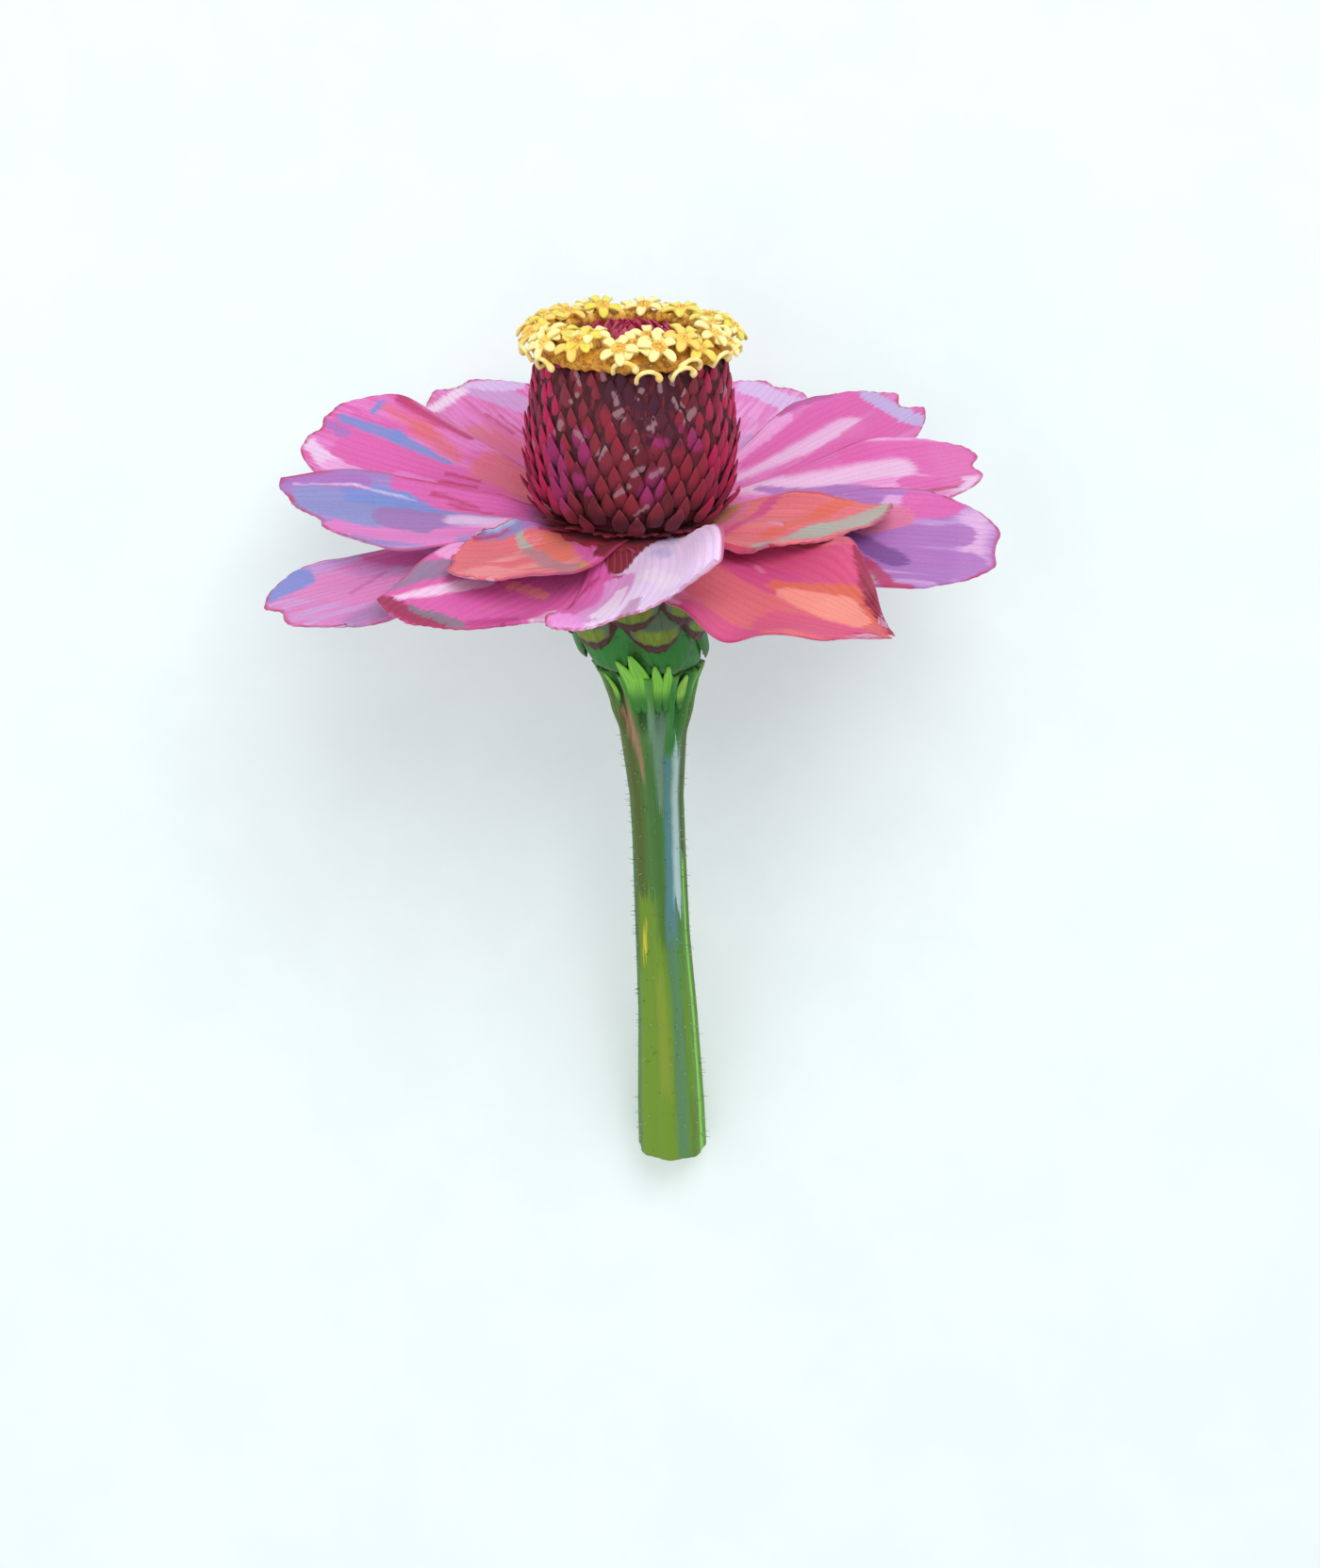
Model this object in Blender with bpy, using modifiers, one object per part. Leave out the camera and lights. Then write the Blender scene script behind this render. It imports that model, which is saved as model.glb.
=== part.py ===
"""Zinnia flower, cut with a short stem and laid down on a level surface.

The flower is shaped in its own frame, in millimetres: X to the right, Y away from the side
that is looked at, Z up along the flower's axis, and the origin in the middle of the ring of
petals. An empty then lays it down, so that it rests on the tips of its back petals and on the
cut end of its stem. The world is in metres, +Z up.
"""

import math
import random

import bmesh
import bpy
import numpy as np
from mathutils import Matrix, Vector

MM = 0.001

# Driving dimensions, in millimetres and degrees
CLEARANCE = 0.3
RECEPTACLE_RADIUS = 5.0
RECEPTACLE_TOP = 1.6
PETAL_ROOT_RADIUS = 6.5
PETAL_THICKNESS = 0.7
PETAL_RING = (9.9, 1.15)
STEM_END = -75.0
CUP_TOP = -1.6
CUP_FOOT = -15.3
SHOULDER = CUP_FOOT - CLEARANCE
# Heights at which the receptacle and the wall round it follow the bend together
CORE_LEVELS = (-12.0, -8.0, -4.0)
BRACT_THICKNESS = 0.7
GOLDEN_ANGLE = math.radians(137.508)
# How much of the petal tips and the stem the resting flats cut away, and a first guess of the
# angle by which the flower's axis lies back from upright to level
REST_TRIM = 0.5
FIRST_TILT = 24.0

# Turned bodies, as radius and height pairs from top to bottom
DISC_PROFILE = (
    (3.0, 21.6), (6.0, 20.9), (8.6, 20.3), (10.0, 19.2), (10.7, 17.6), (11.0, 15.0), (11.4, 11.0),
    (11.1, 6.5), (10.3, 3.6), (8.7, RECEPTACLE_TOP + CLEARANCE),
)
FLORET_RING_PROFILE = (
    (7.2, 22.2), (9.6, 21.9), (11.2, 20.7), (11.8, 19.3), (11.5, 18.5),
    (11.1, 18.5), (10.4, 19.6), (8.9, 20.7), (6.6, 21.2), (6.5, 21.8),
)
CUP_PROFILE = ((6.6, CUP_TOP), (8.8, -3.4), (8.6, -6.0), (7.7, -9.5), (6.6, -13.0), (5.9, CUP_FOOT))
STEM_PROFILE = (
    (STEM_END, 3.8), (-69.0, 3.7), (-59.0, 3.3), (-48.0, 2.95), (-37.0, 2.85), (-31.5, 2.9),
    (-26.0, 3.4), (-22.0, 3.8), (-19.8, 4.2), (-17.6, 4.8), (-16.4, 5.35),
    (SHOULDER, 5.7), (SHOULDER + 0.05, RECEPTACLE_RADIUS),
    *((level, RECEPTACLE_RADIUS) for level in CORE_LEVELS), (RECEPTACLE_TOP, RECEPTACLE_RADIUS),
)
# How far the cup and the stem bend to the right, at each distance below the petals
STEM_BEND = (
    (0, 0), (8, 0.1), (12, 0.7), (16, 1.8), (20, 2.1), (25, 2.3), (35, 2.8), (48, 3.3), (58, 3.9), (76, 4.5))

# Ray petals, in order round the head. An angle of 0 points right and 90 points away.
# rise and arch lift the blade, roll tilts it about its length, claw and spread widen it from its
# root, taper and ease narrow it to its tip, tip and point round its end, skew slants the end, cup
# bends it across, curl turns one edge over, and wave, waves and phase ruffle its edges.
PETAL_DEFAULTS = dict(
    swing=0, twist=0, cup=0.2, curl=0, notch=0.03, wave=0.5, waves=1.6, phase=0.2, skew=0,
    taper=0.25, ease=4, claw=0.4, spread=0.9,
)
PETALS = {
    "right": dict(
        azimuth=15, height=0.0, length=34, width=18.5, rise=5.5, arch=1, roll=12, tip=0.24,
        point=2.6, taper=0.12, skew=2),
    "right_back": dict(
        azimuth=40, height=-0.5, length=36, width=17.5, rise=10, arch=3, roll=12, tip=0.16,
        point=2.4, notch=0.05),
    "back_right": dict(
        azimuth=64, height=-0.6, length=33, width=19, rise=11, arch=3, roll=8, tip=0.24, point=2.6,
        cup=0.3, phase=0.1),
    "back": dict(
        azimuth=84, height=-0.9, length=28, width=16, rise=10, arch=3, roll=4, tip=0.24, point=2.6,
        cup=0.3, phase=0.1),
    "back_low": dict(
        azimuth=103, height=-0.9, length=28, width=16, rise=8, arch=2, roll=4, tip=0.24, point=2.6,
        cup=0.3, phase=0.1),
    "back_left": dict(
        azimuth=121, height=0.0, length=35, width=19, rise=9, arch=3, roll=-8, tip=0.24, point=2.4,
        swing=2, cup=0.3, phase=0.1),
    "left_back": dict(
        azimuth=153, height=0.1, length=34.5, width=19, rise=9, arch=1, roll=-20, tip=0.16, point=3,
        twist=-4, cup=0.25, phase=0.3, claw=0.3, spread=1),
    "left": dict(
        azimuth=187, height=0.3, length=28.5, width=15.5, rise=2.6, arch=2, roll=-15, tip=0.05,
        point=3, skew=-4.5, curl=50, cup=0.25, wave=0.3, phase=0.5, spread=0.8),
    "left_front": dict(
        azimuth=201, height=-0.9, length=34, width=16.5, rise=-8, arch=-1, roll=-12, tip=0.2,
        point=3, skew=-2, swing=-2, cup=0.15, notch=0.02, spread=0.8),
    "front_left_high": dict(
        azimuth=234, height=0.3, length=18, width=15, rise=-9, arch=13, roll=-5, tip=0.25, point=3,
        swing=-58, curl=20, cup=0.3, wave=0.3, claw=0.6, spread=0.5),
    "front_left_low": dict(
        azimuth=226, height=-0.8, length=24, width=17.5, rise=-12, arch=5, roll=-17, tip=0.2,
        point=1.6, skew=-6, cup=0.15, wave=0.7, phase=-0.13, claw=0.55, spread=0.5),
    "front": dict(
        azimuth=281, height=0.2, length=26, width=19.5, rise=1, arch=-5, roll=32, twist=-12, tip=0.2,
        point=3, swing=-34, skew=-3, taper=0.1, wave=0.7, phase=0.4, claw=0.6, spread=0.66),
    "front_right": dict(
        azimuth=314, height=-0.5, length=32.5, width=28.5, rise=-10, arch=9.5, roll=16, tip=0.1,
        point=2, taper=0.95, ease=2, wave=1.3, waves=2.8, phase=-0.28, claw=0.5, spread=0.65),
    "right_short": dict(
        azimuth=341, height=0.4, length=19, width=14.5, rise=5, arch=-2, roll=8, tip=0.15,
        point=2.6, skew=5, taper=0.15, phase=0.4, claw=0.85, spread=0.5),
    "right_low": dict(
        azimuth=348, height=-0.1, length=34, width=19, rise=-0.6, arch=0, roll=20, twist=4,
        tip=0.26, point=2.6, taper=0.15, phase=0.4),
}
PETAL_ROWS = 7
PETAL_COLUMNS = 7
# Height of a petal's lengthwise ribs, share of its length over which it takes up its roll and cup,
# share of the cup that it has at its root, and how far past its length the midrib is followed
PETAL_RIB = 0.35
PETAL_ONSET = 0.3
ROOT_CUP = 0.3
MIDRIB_RUN = 1.4

# Bract rows of the green cup: how many, where they start, how long and how wide they are
BRACT_ROWS = ((8, -3.5, 5.7, 8.2), (7, -6.4, 5.7, 8.0), (6, -9.4, 5.5, 7.8))
# How deep a bract roots in the cup's wall, and how far its free end stands out from its root
BRACT_ROOT = 1.0
BRACT_FLARE = 1.9

# Ribs of the flare under the cup: where their middles are, outward lean, and width, depth, length
STEM_RIBS = 12
STEM_RIB_PLACE = (4.55, -18.9)
STEM_RIB_LEAN = 0.33
STEM_RIB_SIZE = (1.5, 1.3, 5.6)

# Scales of the disc: lowest and highest middle, ranges of width, length and lean, and depth
SCALE_COUNT = 90
SCALE_HEIGHTS = (3.5, 15.2)
SCALE_WIDTH = (3.2, 3.8)
SCALE_LENGTH = (4.6, 5.2)
SCALE_LEAN = (0.14, 0.24)
SCALE_DEPTH = 1.7
CROWN_SCALE_COUNT = 16
CROWN_RADIUS = 5.3
CROWN_HEIGHT = 21.9
CROWN_SCALE_SIZE = (1.9, 1.1, 2.4)

# Floret rows: how many, radius, height and how far each floret leans out from upright
FLORET_ROWS = ((14, 11.0, 20.6, 60), (10, 8.9, 21.6, 30))
FLORET_THROAT = 0.9
FLORET_DEPTH = 2.0
LOBE_REACH = 2.2
LOBE_NOTCH = 1.0
# Styles: how many, wire radius, where they leave the ring, middle and size of their arch
STYLE_COUNT = 7
STYLE_RADIUS = 0.34
STYLE_ROOT = (11.2, 19.0)
STYLE_ARCH_PLACE = (11.9, 18.9)
STYLE_ARCH_SIZE = (1.15, 1.2)
STYLE_BULGE = 0.5


def clear_scene():
    for old in list(bpy.data.objects):
        bpy.data.objects.remove(old, do_unlink=True)


def new_collection(name):
    collection = bpy.data.collections.new(name)
    bpy.context.scene.collection.children.link(collection)
    return collection


def make_material(name, colour, roughness):
    material = bpy.data.materials.new(name)
    material.use_nodes = True
    shader = material.node_tree.nodes["Principled BSDF"]
    shader.inputs["Base Color"].default_value = (*colour, 1.0)
    shader.inputs["Roughness"].default_value = roughness
    shader.inputs["Metallic"].default_value = 0.0
    material.diffuse_color = (*colour, 1.0)
    return material


def add_mesh(name, mesh, collection):
    piece = bpy.data.objects.new(name, mesh)
    collection.objects.link(piece)
    return piece


def mesh_from_bmesh(name, shape):
    mesh = bpy.data.meshes.new(name)
    shape.to_mesh(mesh)
    shape.free()
    return mesh


def evaluated_mesh(piece):
    bpy.context.view_layer.update()
    graph = bpy.context.evaluated_depsgraph_get()
    return bpy.data.meshes.new_from_object(piece.evaluated_get(graph))


def freeze(piece):
    """Swap a piece's modifiers for the mesh that they make."""
    mesh = evaluated_mesh(piece)
    old = piece.data
    piece.modifiers.clear()
    piece.data = mesh
    bpy.data.meshes.remove(old)


def fuse(piece, parts):
    """Join the parts' objects to the piece with one union, and remove them."""
    union = piece.modifiers.new("union", "BOOLEAN")
    union.operation = "UNION"
    union.operand_type = "COLLECTION"
    union.collection = parts
    union.solver = "MANIFOLD"
    freeze(piece)
    for part in list(parts.objects):
        bpy.data.objects.remove(part, do_unlink=True)
    bpy.data.collections.remove(parts)
    fill_hollows(piece.data)


def fill_hollows(mesh):
    """Keep a mesh's outer skin, and drop the skins of hollows that crossing blades seal off."""
    shape = bmesh.new()
    shape.from_mesh(mesh)
    left = set(shape.verts)
    skins = []
    while left:
        skin = []
        reached = [left.pop()]
        while reached:
            vertex = reached.pop()
            skin.append(vertex)
            for edge in vertex.link_edges:
                other = edge.other_vert(vertex)
                if other in left:
                    left.remove(other)
                    reached.append(other)
        skins.append(skin)
    skins.sort(key=len)
    for skin in skins[:-1]:
        bmesh.ops.delete(shape, geom=skin, context="VERTS")
    shape.to_mesh(mesh)
    shape.free()


def turned(name, profile, closed, steps, collection):
    """Turn a profile of radius and height pairs about the flower's axis."""
    shape = bmesh.new()
    points = [shape.verts.new((radius * MM, 0, height * MM)) for radius, height in profile]
    for upper, lower in zip(points, points[1:]):
        shape.edges.new((upper, lower))
    if closed:
        shape.edges.new((points[-1], points[0]))
    piece = add_mesh(name, mesh_from_bmesh(name, shape), collection)
    screw = piece.modifiers.new("turn", "SCREW")
    screw.steps = steps
    screw.render_steps = steps
    screw.use_merge_vertices = True
    screw.merge_threshold = 0.00001
    triangulate = piece.modifiers.new("triangles", "TRIANGULATE")
    triangulate.min_vertices = 4
    return piece


def blade(name, points, thickness, collection):
    """A thin closed blade about a grid of points, with both faces split alike."""
    rows, columns = points.shape[:2]
    shape = bmesh.new()
    grid = [
        [shape.verts.new(points[row, column] * MM) for column in range(columns)] for row in range(rows)]
    for row in range(rows - 1):
        for column in range(columns - 1):
            near, far = grid[row][column], grid[row + 1][column + 1]
            shape.faces.new((near, grid[row + 1][column], far))
            shape.faces.new((near, far, grid[row][column + 1]))
    piece = add_mesh(name, mesh_from_bmesh(name, shape), collection)
    solid = piece.modifiers.new("thickness", "SOLIDIFY")
    solid.thickness = thickness * MM
    solid.offset = 0
    piece.modifiers.new("triangles", "TRIANGULATE")
    return piece


def spike(name, centre, along, outward, size, sides, collection):
    """A flat pointed scale: its long axis lies along one direction and its flat face looks outward."""
    width, depth, length = size
    shape = bmesh.new()
    bmesh.ops.create_cone(
        shape, cap_ends=True, cap_tris=True, segments=sides, radius1=0.5, radius2=0.0, depth=1.0)
    place(shape, centre, along, outward, (width, depth, length))
    return add_mesh(name, mesh_from_bmesh(name, shape), collection)


def place(shape, centre, along, outward, size):
    """Stretch a unit shape to width, depth and length, turn it and move it to its centre."""
    up = along.normalized()
    side = outward.cross(up).normalized()
    front = up.cross(side)
    turn = Matrix((side, front, up)).transposed().to_4x4()
    stretch = Matrix.Diagonal((*size, 1.0))
    matrix = Matrix.Scale(MM, 4) @ Matrix.Translation(centre) @ turn @ stretch
    bmesh.ops.transform(shape, matrix=matrix, verts=shape.verts)


def radius_at(profile, height):
    """Radius of a turned body at a height; the profile runs from top to bottom."""
    heights = [point[1] for point in reversed(profile)]
    radii = [point[0] for point in reversed(profile)]
    return float(np.interp(height, heights, radii))


def smooth_step(value):
    value = np.clip(value, 0, 1)
    return value * value * (3 - 2 * value)


def petal_surface(petal, rows, columns):
    """Middle surface of one ray petal, as a grid of points from root to tip and side to side."""
    along = np.linspace(0, 1, rows)[:, None]
    across = np.linspace(-1, 1, columns)[None, :]
    length = petal["length"]
    notches = np.clip(np.cos(1.5 * np.pi * across), 0, 1) ** 2
    rounding = petal["tip"] * np.abs(across) ** petal["point"] + petal["notch"] * notches
    run = length * along * (1 - along ** 3 * rounding) + petal["skew"] * across * along ** 2
    widening = petal["claw"] + (1 - petal["claw"]) * smooth_step(along / petal["spread"])
    half_width = petal["width"] / 2 * widening * (1 - petal["taper"] * along ** petal["ease"])

    # The midrib, followed in short steps from the root
    steps = 280
    marks = np.linspace(0, MIDRIB_RUN, steps + 1)
    headings = heading(petal, (marks[1:] + marks[:-1]) / 2)
    azimuth = math.radians(petal["azimuth"])
    root = np.array([
        PETAL_ROOT_RADIUS * math.cos(azimuth), PETAL_ROOT_RADIUS * math.sin(azimuth), petal["height"]])
    midrib = np.vstack([root, root + np.cumsum(headings * length * MIDRIB_RUN / steps, axis=0)])
    reach = run / length
    middle = np.stack([np.interp(reach, marks, midrib[:, axis]) for axis in range(3)], axis=-1)

    # Sideways and upward directions at each point, rolled about the midrib beyond the root
    forward = heading(petal, reach)
    yaw = np.radians(petal["azimuth"] + petal["swing"] * reach)
    level = np.stack([-np.sin(yaw), np.cos(yaw), 0 * yaw], axis=-1)
    upright = np.cross(forward, level)
    onset = smooth_step(reach / PETAL_ONSET)
    roll = np.radians((petal["roll"] + petal["twist"] * reach) * onset)[..., None]
    sideways = level * np.cos(roll) + upright * np.sin(roll)
    upward = upright * np.cos(roll) - level * np.sin(roll)

    # Bend across the blade, with the ruffle of its edges and the low ribs along it
    offset, lift = cross_section(petal, across)
    turns = along * petal["waves"] + petal["phase"]
    ruffle = np.sin(2 * np.pi * turns) * across * np.abs(across) * half_width / (petal["width"] / 2)
    ribs = np.cos(2.5 * np.pi * across) * np.clip(2 * along, 0, 1) * np.clip(1.15 - along, 0, 1)
    height = lift * half_width * (ROOT_CUP + (1 - ROOT_CUP) * onset)
    height = height + petal["wave"] * ruffle + PETAL_RIB * ribs
    return middle + sideways * (offset * half_width)[..., None] + upward * height[..., None]


def heading(petal, reach):
    pitch = np.radians(petal["rise"] + petal["arch"] * reach)
    yaw = np.radians(petal["azimuth"] + petal["swing"] * reach)
    return np.stack([np.cos(pitch) * np.cos(yaw), np.cos(pitch) * np.sin(yaw), np.sin(pitch)], axis=-1)


def cross_section(petal, across):
    """Sideways and upward place on the bent section, for a half width of 1."""
    marks = np.linspace(-1, 1, 201)
    edge = np.clip((-marks - 0.45) / 0.55, 0, 1) ** 1.5
    slope = petal["cup"] * marks - math.radians(petal["curl"]) * edge
    spacing = marks[1] - marks[0]
    offset = np.concatenate([[0], np.cumsum((np.cos(slope[1:]) + np.cos(slope[:-1])) / 2 * spacing)])
    lift = np.concatenate([[0], np.cumsum((np.sin(slope[1:]) + np.sin(slope[:-1])) / 2 * spacing)])
    offset -= offset[100]
    lift -= lift[100]
    return np.interp(across, marks, offset), np.interp(across, marks, lift)


def build_petals(collection):
    """Fifteen ray petals on the ring where their claws meet."""
    outer, half_height = PETAL_RING
    inner = RECEPTACLE_RADIUS + CLEARANCE
    ring = (
        (outer - 0.8, half_height), (outer, 0), (outer - 0.8, -half_height), (inner, -half_height),
        (inner, half_height))
    piece = turned("ray_petals", ring, True, 30, collection)
    parts = new_collection("petal_blades")
    for name, shape in PETALS.items():
        petal = {**PETAL_DEFAULTS, **shape}
        blade(name, petal_surface(petal, PETAL_ROWS, PETAL_COLUMNS), PETAL_THICKNESS, parts)
    fuse(piece, parts)
    return piece


def build_disc(collection):
    """The barrel of chaffy scales, in a golden-angle spiral, with a low crown of young ones."""
    closed_top = ((0, CROWN_HEIGHT), *DISC_PROFILE, (0, DISC_PROFILE[-1][1]))
    piece = turned("disc_cone", closed_top, False, 28, collection)
    parts = new_collection("disc_scales")
    draw = random.Random(7)
    low, high = SCALE_HEIGHTS
    base = DISC_PROFILE[-1][1]
    for index in range(SCALE_COUNT):
        height = low + (high - low) * (index + 0.5) / SCALE_COUNT
        angle = index * GOLDEN_ANGLE
        radial = Vector((math.cos(angle), math.sin(angle), 0))
        span = 1.5
        slope = radius_at(DISC_PROFILE, height + span) - radius_at(DISC_PROFILE, height - span)
        meridian = Vector((radial.x * slope, radial.y * slope, 2 * span)).normalized()
        along = (meridian + radial * draw.uniform(*SCALE_LEAN)).normalized()
        centre = radial * (radius_at(DISC_PROFILE, height) + 0.05) + Vector((0, 0, height))
        length = min(draw.uniform(*SCALE_LENGTH), 2 * (height - base - 0.2))
        size = (draw.uniform(*SCALE_WIDTH), SCALE_DEPTH, length)
        spike(f"scale_{index}", centre, along, radial, size, 3, parts)
    for index in range(CROWN_SCALE_COUNT):
        radius = CROWN_RADIUS * math.sqrt((index + 0.6) / CROWN_SCALE_COUNT)
        angle = index * GOLDEN_ANGLE
        radial = Vector((math.cos(angle), math.sin(angle), 0))
        centre = radial * radius + Vector((0, 0, CROWN_HEIGHT - 0.03 * radius * radius))
        along = Vector((0, 0, 1)) - radial * 0.25
        spike(f"crown_{index}", centre, along, radial, CROWN_SCALE_SIZE, 4, parts)
    fuse(piece, parts)
    return piece


def build_florets(collection):
    """The ring of yellow five-lobed florets round the disc's rim, with their hooked styles."""
    piece = turned("disc_florets", FLORET_RING_PROFILE, True, 24, collection)
    parts = new_collection("floret_lobes")
    draw = random.Random(11)
    for row, (count, radius, height, lean) in enumerate(FLORET_ROWS):
        for index in range(count):
            angle = 2 * math.pi * (index + 0.5 * row + draw.uniform(-0.12, 0.12)) / count
            radial = Vector((math.cos(angle), math.sin(angle), 0))
            tilt = math.radians(lean + draw.uniform(-8, 8))
            axis = radial * math.sin(tilt) + Vector((0, 0, math.cos(tilt)))
            mouth = radial * radius + Vector((0, 0, height)) + axis * 0.7
            floret(f"floret_{row}_{index}", mouth, axis, draw.uniform(0, 1), parts)
    for index in range(STYLE_COUNT):
        angle = 2 * math.pi * (index + draw.uniform(-0.15, 0.15)) / STYLE_COUNT
        style(f"style_{index}", angle, draw.choice((-1, 1)), parts)
    fuse(piece, parts)
    return piece


def floret(name, mouth, axis, turn, collection):
    """One floret: a funnel that opens into a star of five lobes."""
    side = Matrix.Rotation(turn * math.pi, 3, axis) @ axis.orthogonal().normalized()
    shape = bmesh.new()
    bmesh.ops.create_cone(
        shape, cap_ends=True, cap_tris=True, segments=10, radius1=FLORET_THROAT, radius2=LOBE_REACH,
        depth=FLORET_DEPTH)
    rim = [vertex for vertex in shape.verts if vertex.co.z > 0]
    rim.sort(key=lambda vertex: math.atan2(vertex.co.y, vertex.co.x))
    for vertex in rim[1::2]:
        vertex.co.x *= LOBE_NOTCH / LOBE_REACH
        vertex.co.y *= LOBE_NOTCH / LOBE_REACH
    place(shape, mouth - axis * 0.6, axis, side, (1.0, 1.0, 1.0))
    add_mesh(name, mesh_from_bmesh(name, shape), collection)


def style(name, angle, side, collection):
    """A style that arches out of the ring and hooks down, as a thin tube."""
    root_radius, root_height = STYLE_ROOT
    middle_radius, middle_height = STYLE_ARCH_PLACE
    arch_width, arch_height = STYLE_ARCH_SIZE
    spline_points = [(root_radius * math.cos(angle), root_radius * math.sin(angle), root_height)]
    for step in range(5):
        turn = math.radians(-10 + 50 * step)
        swing = angle + side * arch_width * (1 - math.cos(turn)) / middle_radius
        reach = middle_radius + STYLE_BULGE * math.sin(min(turn, math.pi))
        height = middle_height + arch_height * math.sin(turn)
        spline_points.append((reach * math.cos(swing), reach * math.sin(swing), height))
    curve = tube_curve(name, [(*point, STYLE_RADIUS) for point in spline_points], 0)
    mesh_piece(curve, collection)


def tube_curve(name, points, resolution):
    """A poly curve through points that each carry their own radius, with closed ends."""
    data = bpy.data.curves.new(name, "CURVE")
    data.dimensions = "3D"
    data.bevel_depth = MM
    data.bevel_resolution = resolution
    data.use_fill_caps = True
    line = data.splines.new("POLY")
    line.points.add(len(points) - 1)
    for point, (x, y, z, radius) in zip(line.points, points):
        point.co = (x * MM, y * MM, z * MM, 1)
        point.radius = radius
    curve = bpy.data.objects.new(name, data)
    bpy.context.scene.collection.objects.link(curve)
    return curve


def mesh_piece(curve, collection):
    """Turn a curve into a mesh object with its caps joined on, and remove the curve."""
    mesh = evaluated_mesh(curve)
    shape = bmesh.new()
    shape.from_mesh(mesh)
    bmesh.ops.remove_doubles(shape, verts=shape.verts, dist=0.000001)
    bmesh.ops.triangulate(shape, faces=shape.faces)
    bmesh.ops.recalc_face_normals(shape, faces=shape.faces)
    shape.to_mesh(mesh)
    shape.free()
    name, matrix = curve.name, curve.matrix_world.copy()
    bpy.data.objects.remove(curve, do_unlink=True)
    piece = add_mesh(name, mesh, collection)
    piece.matrix_world = matrix
    return piece


def build_cup(collection):
    """The green cup under the petals, in rows of rounded bracts that hang outward."""
    inner = RECEPTACLE_RADIUS + CLEARANCE
    wall = tuple((inner, level) for level in (CUP_FOOT, *CORE_LEVELS, CUP_TOP))
    ring = (*CUP_PROFILE, *wall)
    piece = turned("involucre", ring, True, 24, collection)
    parts = new_collection("bracts")
    draw = random.Random(5)
    for row, (count, top, length, width) in enumerate(BRACT_ROWS):
        for index in range(count):
            angle = 2 * math.pi * (index + 0.5 * row + draw.uniform(-0.08, 0.08)) / count
            size = (top, length * draw.uniform(0.94, 1.04), width * draw.uniform(0.95, 1.05))
            blade(f"bract_{row}_{index}", bract_surface(angle, size), BRACT_THICKNESS, parts)
    fuse(piece, parts)
    return piece


def bract_surface(angle, size):
    """Middle surface of one bract: rooted in the cup's wall above, free and rounded below."""
    top, length, width = size
    rows, columns = 3, 5
    points = np.zeros((rows, columns, 3))
    for row in range(rows):
        along = row / (rows - 1)
        for column in range(columns):
            across = 2 * column / (columns - 1) - 1
            drop = length * along * (1 - 0.42 * along * abs(across) ** 2.2)
            height = top - drop
            lift = BRACT_FLARE * along ** 0.6 * (1 - 0.3 * across * across) - BRACT_ROOT
            radius = radius_at(CUP_PROFILE, height) + lift
            swing = angle + across * width / 2 / radius * (1 - 0.25 * along ** 3)
            points[row, column] = (radius * math.cos(swing), radius * math.sin(swing), height)
    return points


def build_stem(collection):
    """The stem, flared under the cup, with the receptacle that the whole head stands on."""
    piece = mesh_piece(tube_curve("stem", [(0, 0, *station) for station in STEM_PROFILE], 5), collection)
    parts = new_collection("stem_ribs")
    rib_radius, rib_height = STEM_RIB_PLACE
    for index in range(STEM_RIBS):
        angle = 2 * math.pi * (index + 0.5) / STEM_RIBS
        radial = Vector((math.cos(angle), math.sin(angle), 0))
        centre = radial * rib_radius + Vector((0, 0, rib_height))
        along = Vector((0, 0, 1)) + radial * STEM_RIB_LEAN
        spike(f"rib_{index}", centre, along, radial, STEM_RIB_SIZE, 4, parts)
    fuse(piece, parts)
    return piece


def bend(piece):
    """Lean the piece to the right below the petals, as the cup and the stem grow there."""
    depths = [point[0] for point in STEM_BEND]
    shifts = [point[1] for point in STEM_BEND]
    for vertex in piece.data.vertices:
        vertex.co.x += float(np.interp(-vertex.co.z / MM, depths, shifts)) * MM


def lowest(points, up):
    return min(points, key=lambda point: point.dot(up))


def resting_up(petal_points, stem_points):
    """Upward direction, in the flower's frame, when it lies on a petal tip at each side and its stem."""
    tilt = math.radians(FIRST_TILT)
    up = Vector((0, -math.cos(tilt), math.sin(tilt)))
    left = [point for point in petal_points if point.x < 0]
    right = [point for point in petal_points if point.x > 0]
    for _ in range(20):
        stem = lowest(stem_points, up)
        normal = (lowest(left, up) - stem).cross(lowest(right, up) - stem).normalized()
        up = normal if normal.dot(up) > 0 else -normal
    return up


def lay_down(pieces):
    """Parent the pieces to an empty that lays the flower on the ground, centred over the origin."""
    by_name = {piece.name: piece for piece in pieces}
    petal_points = [vertex.co.copy() for vertex in by_name["ray_petals"].data.vertices]
    stem_points = [vertex.co.copy() for vertex in by_name["stem"].data.vertices]
    up = resting_up(petal_points, stem_points)
    axis = Vector((0, 0, 1))
    ahead = (axis - up * axis.dot(up)).normalized()
    turn = Matrix((ahead.cross(up), ahead, up))
    points = [turn @ vertex.co for piece in pieces for vertex in piece.data.vertices]
    low = Vector([min(point[axis] for point in points) for axis in range(3)])
    high = Vector([max(point[axis] for point in points) for axis in range(3)])
    middle = (low + high) / 2
    empty = bpy.data.objects.new("flower", None)
    bpy.context.scene.collection.objects.link(empty)
    empty.matrix_world = (
        Matrix.Translation((-middle.x, -middle.y, -low.z - REST_TRIM * MM)) @ turn.to_4x4())
    for piece in pieces:
        piece.parent = empty


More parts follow.
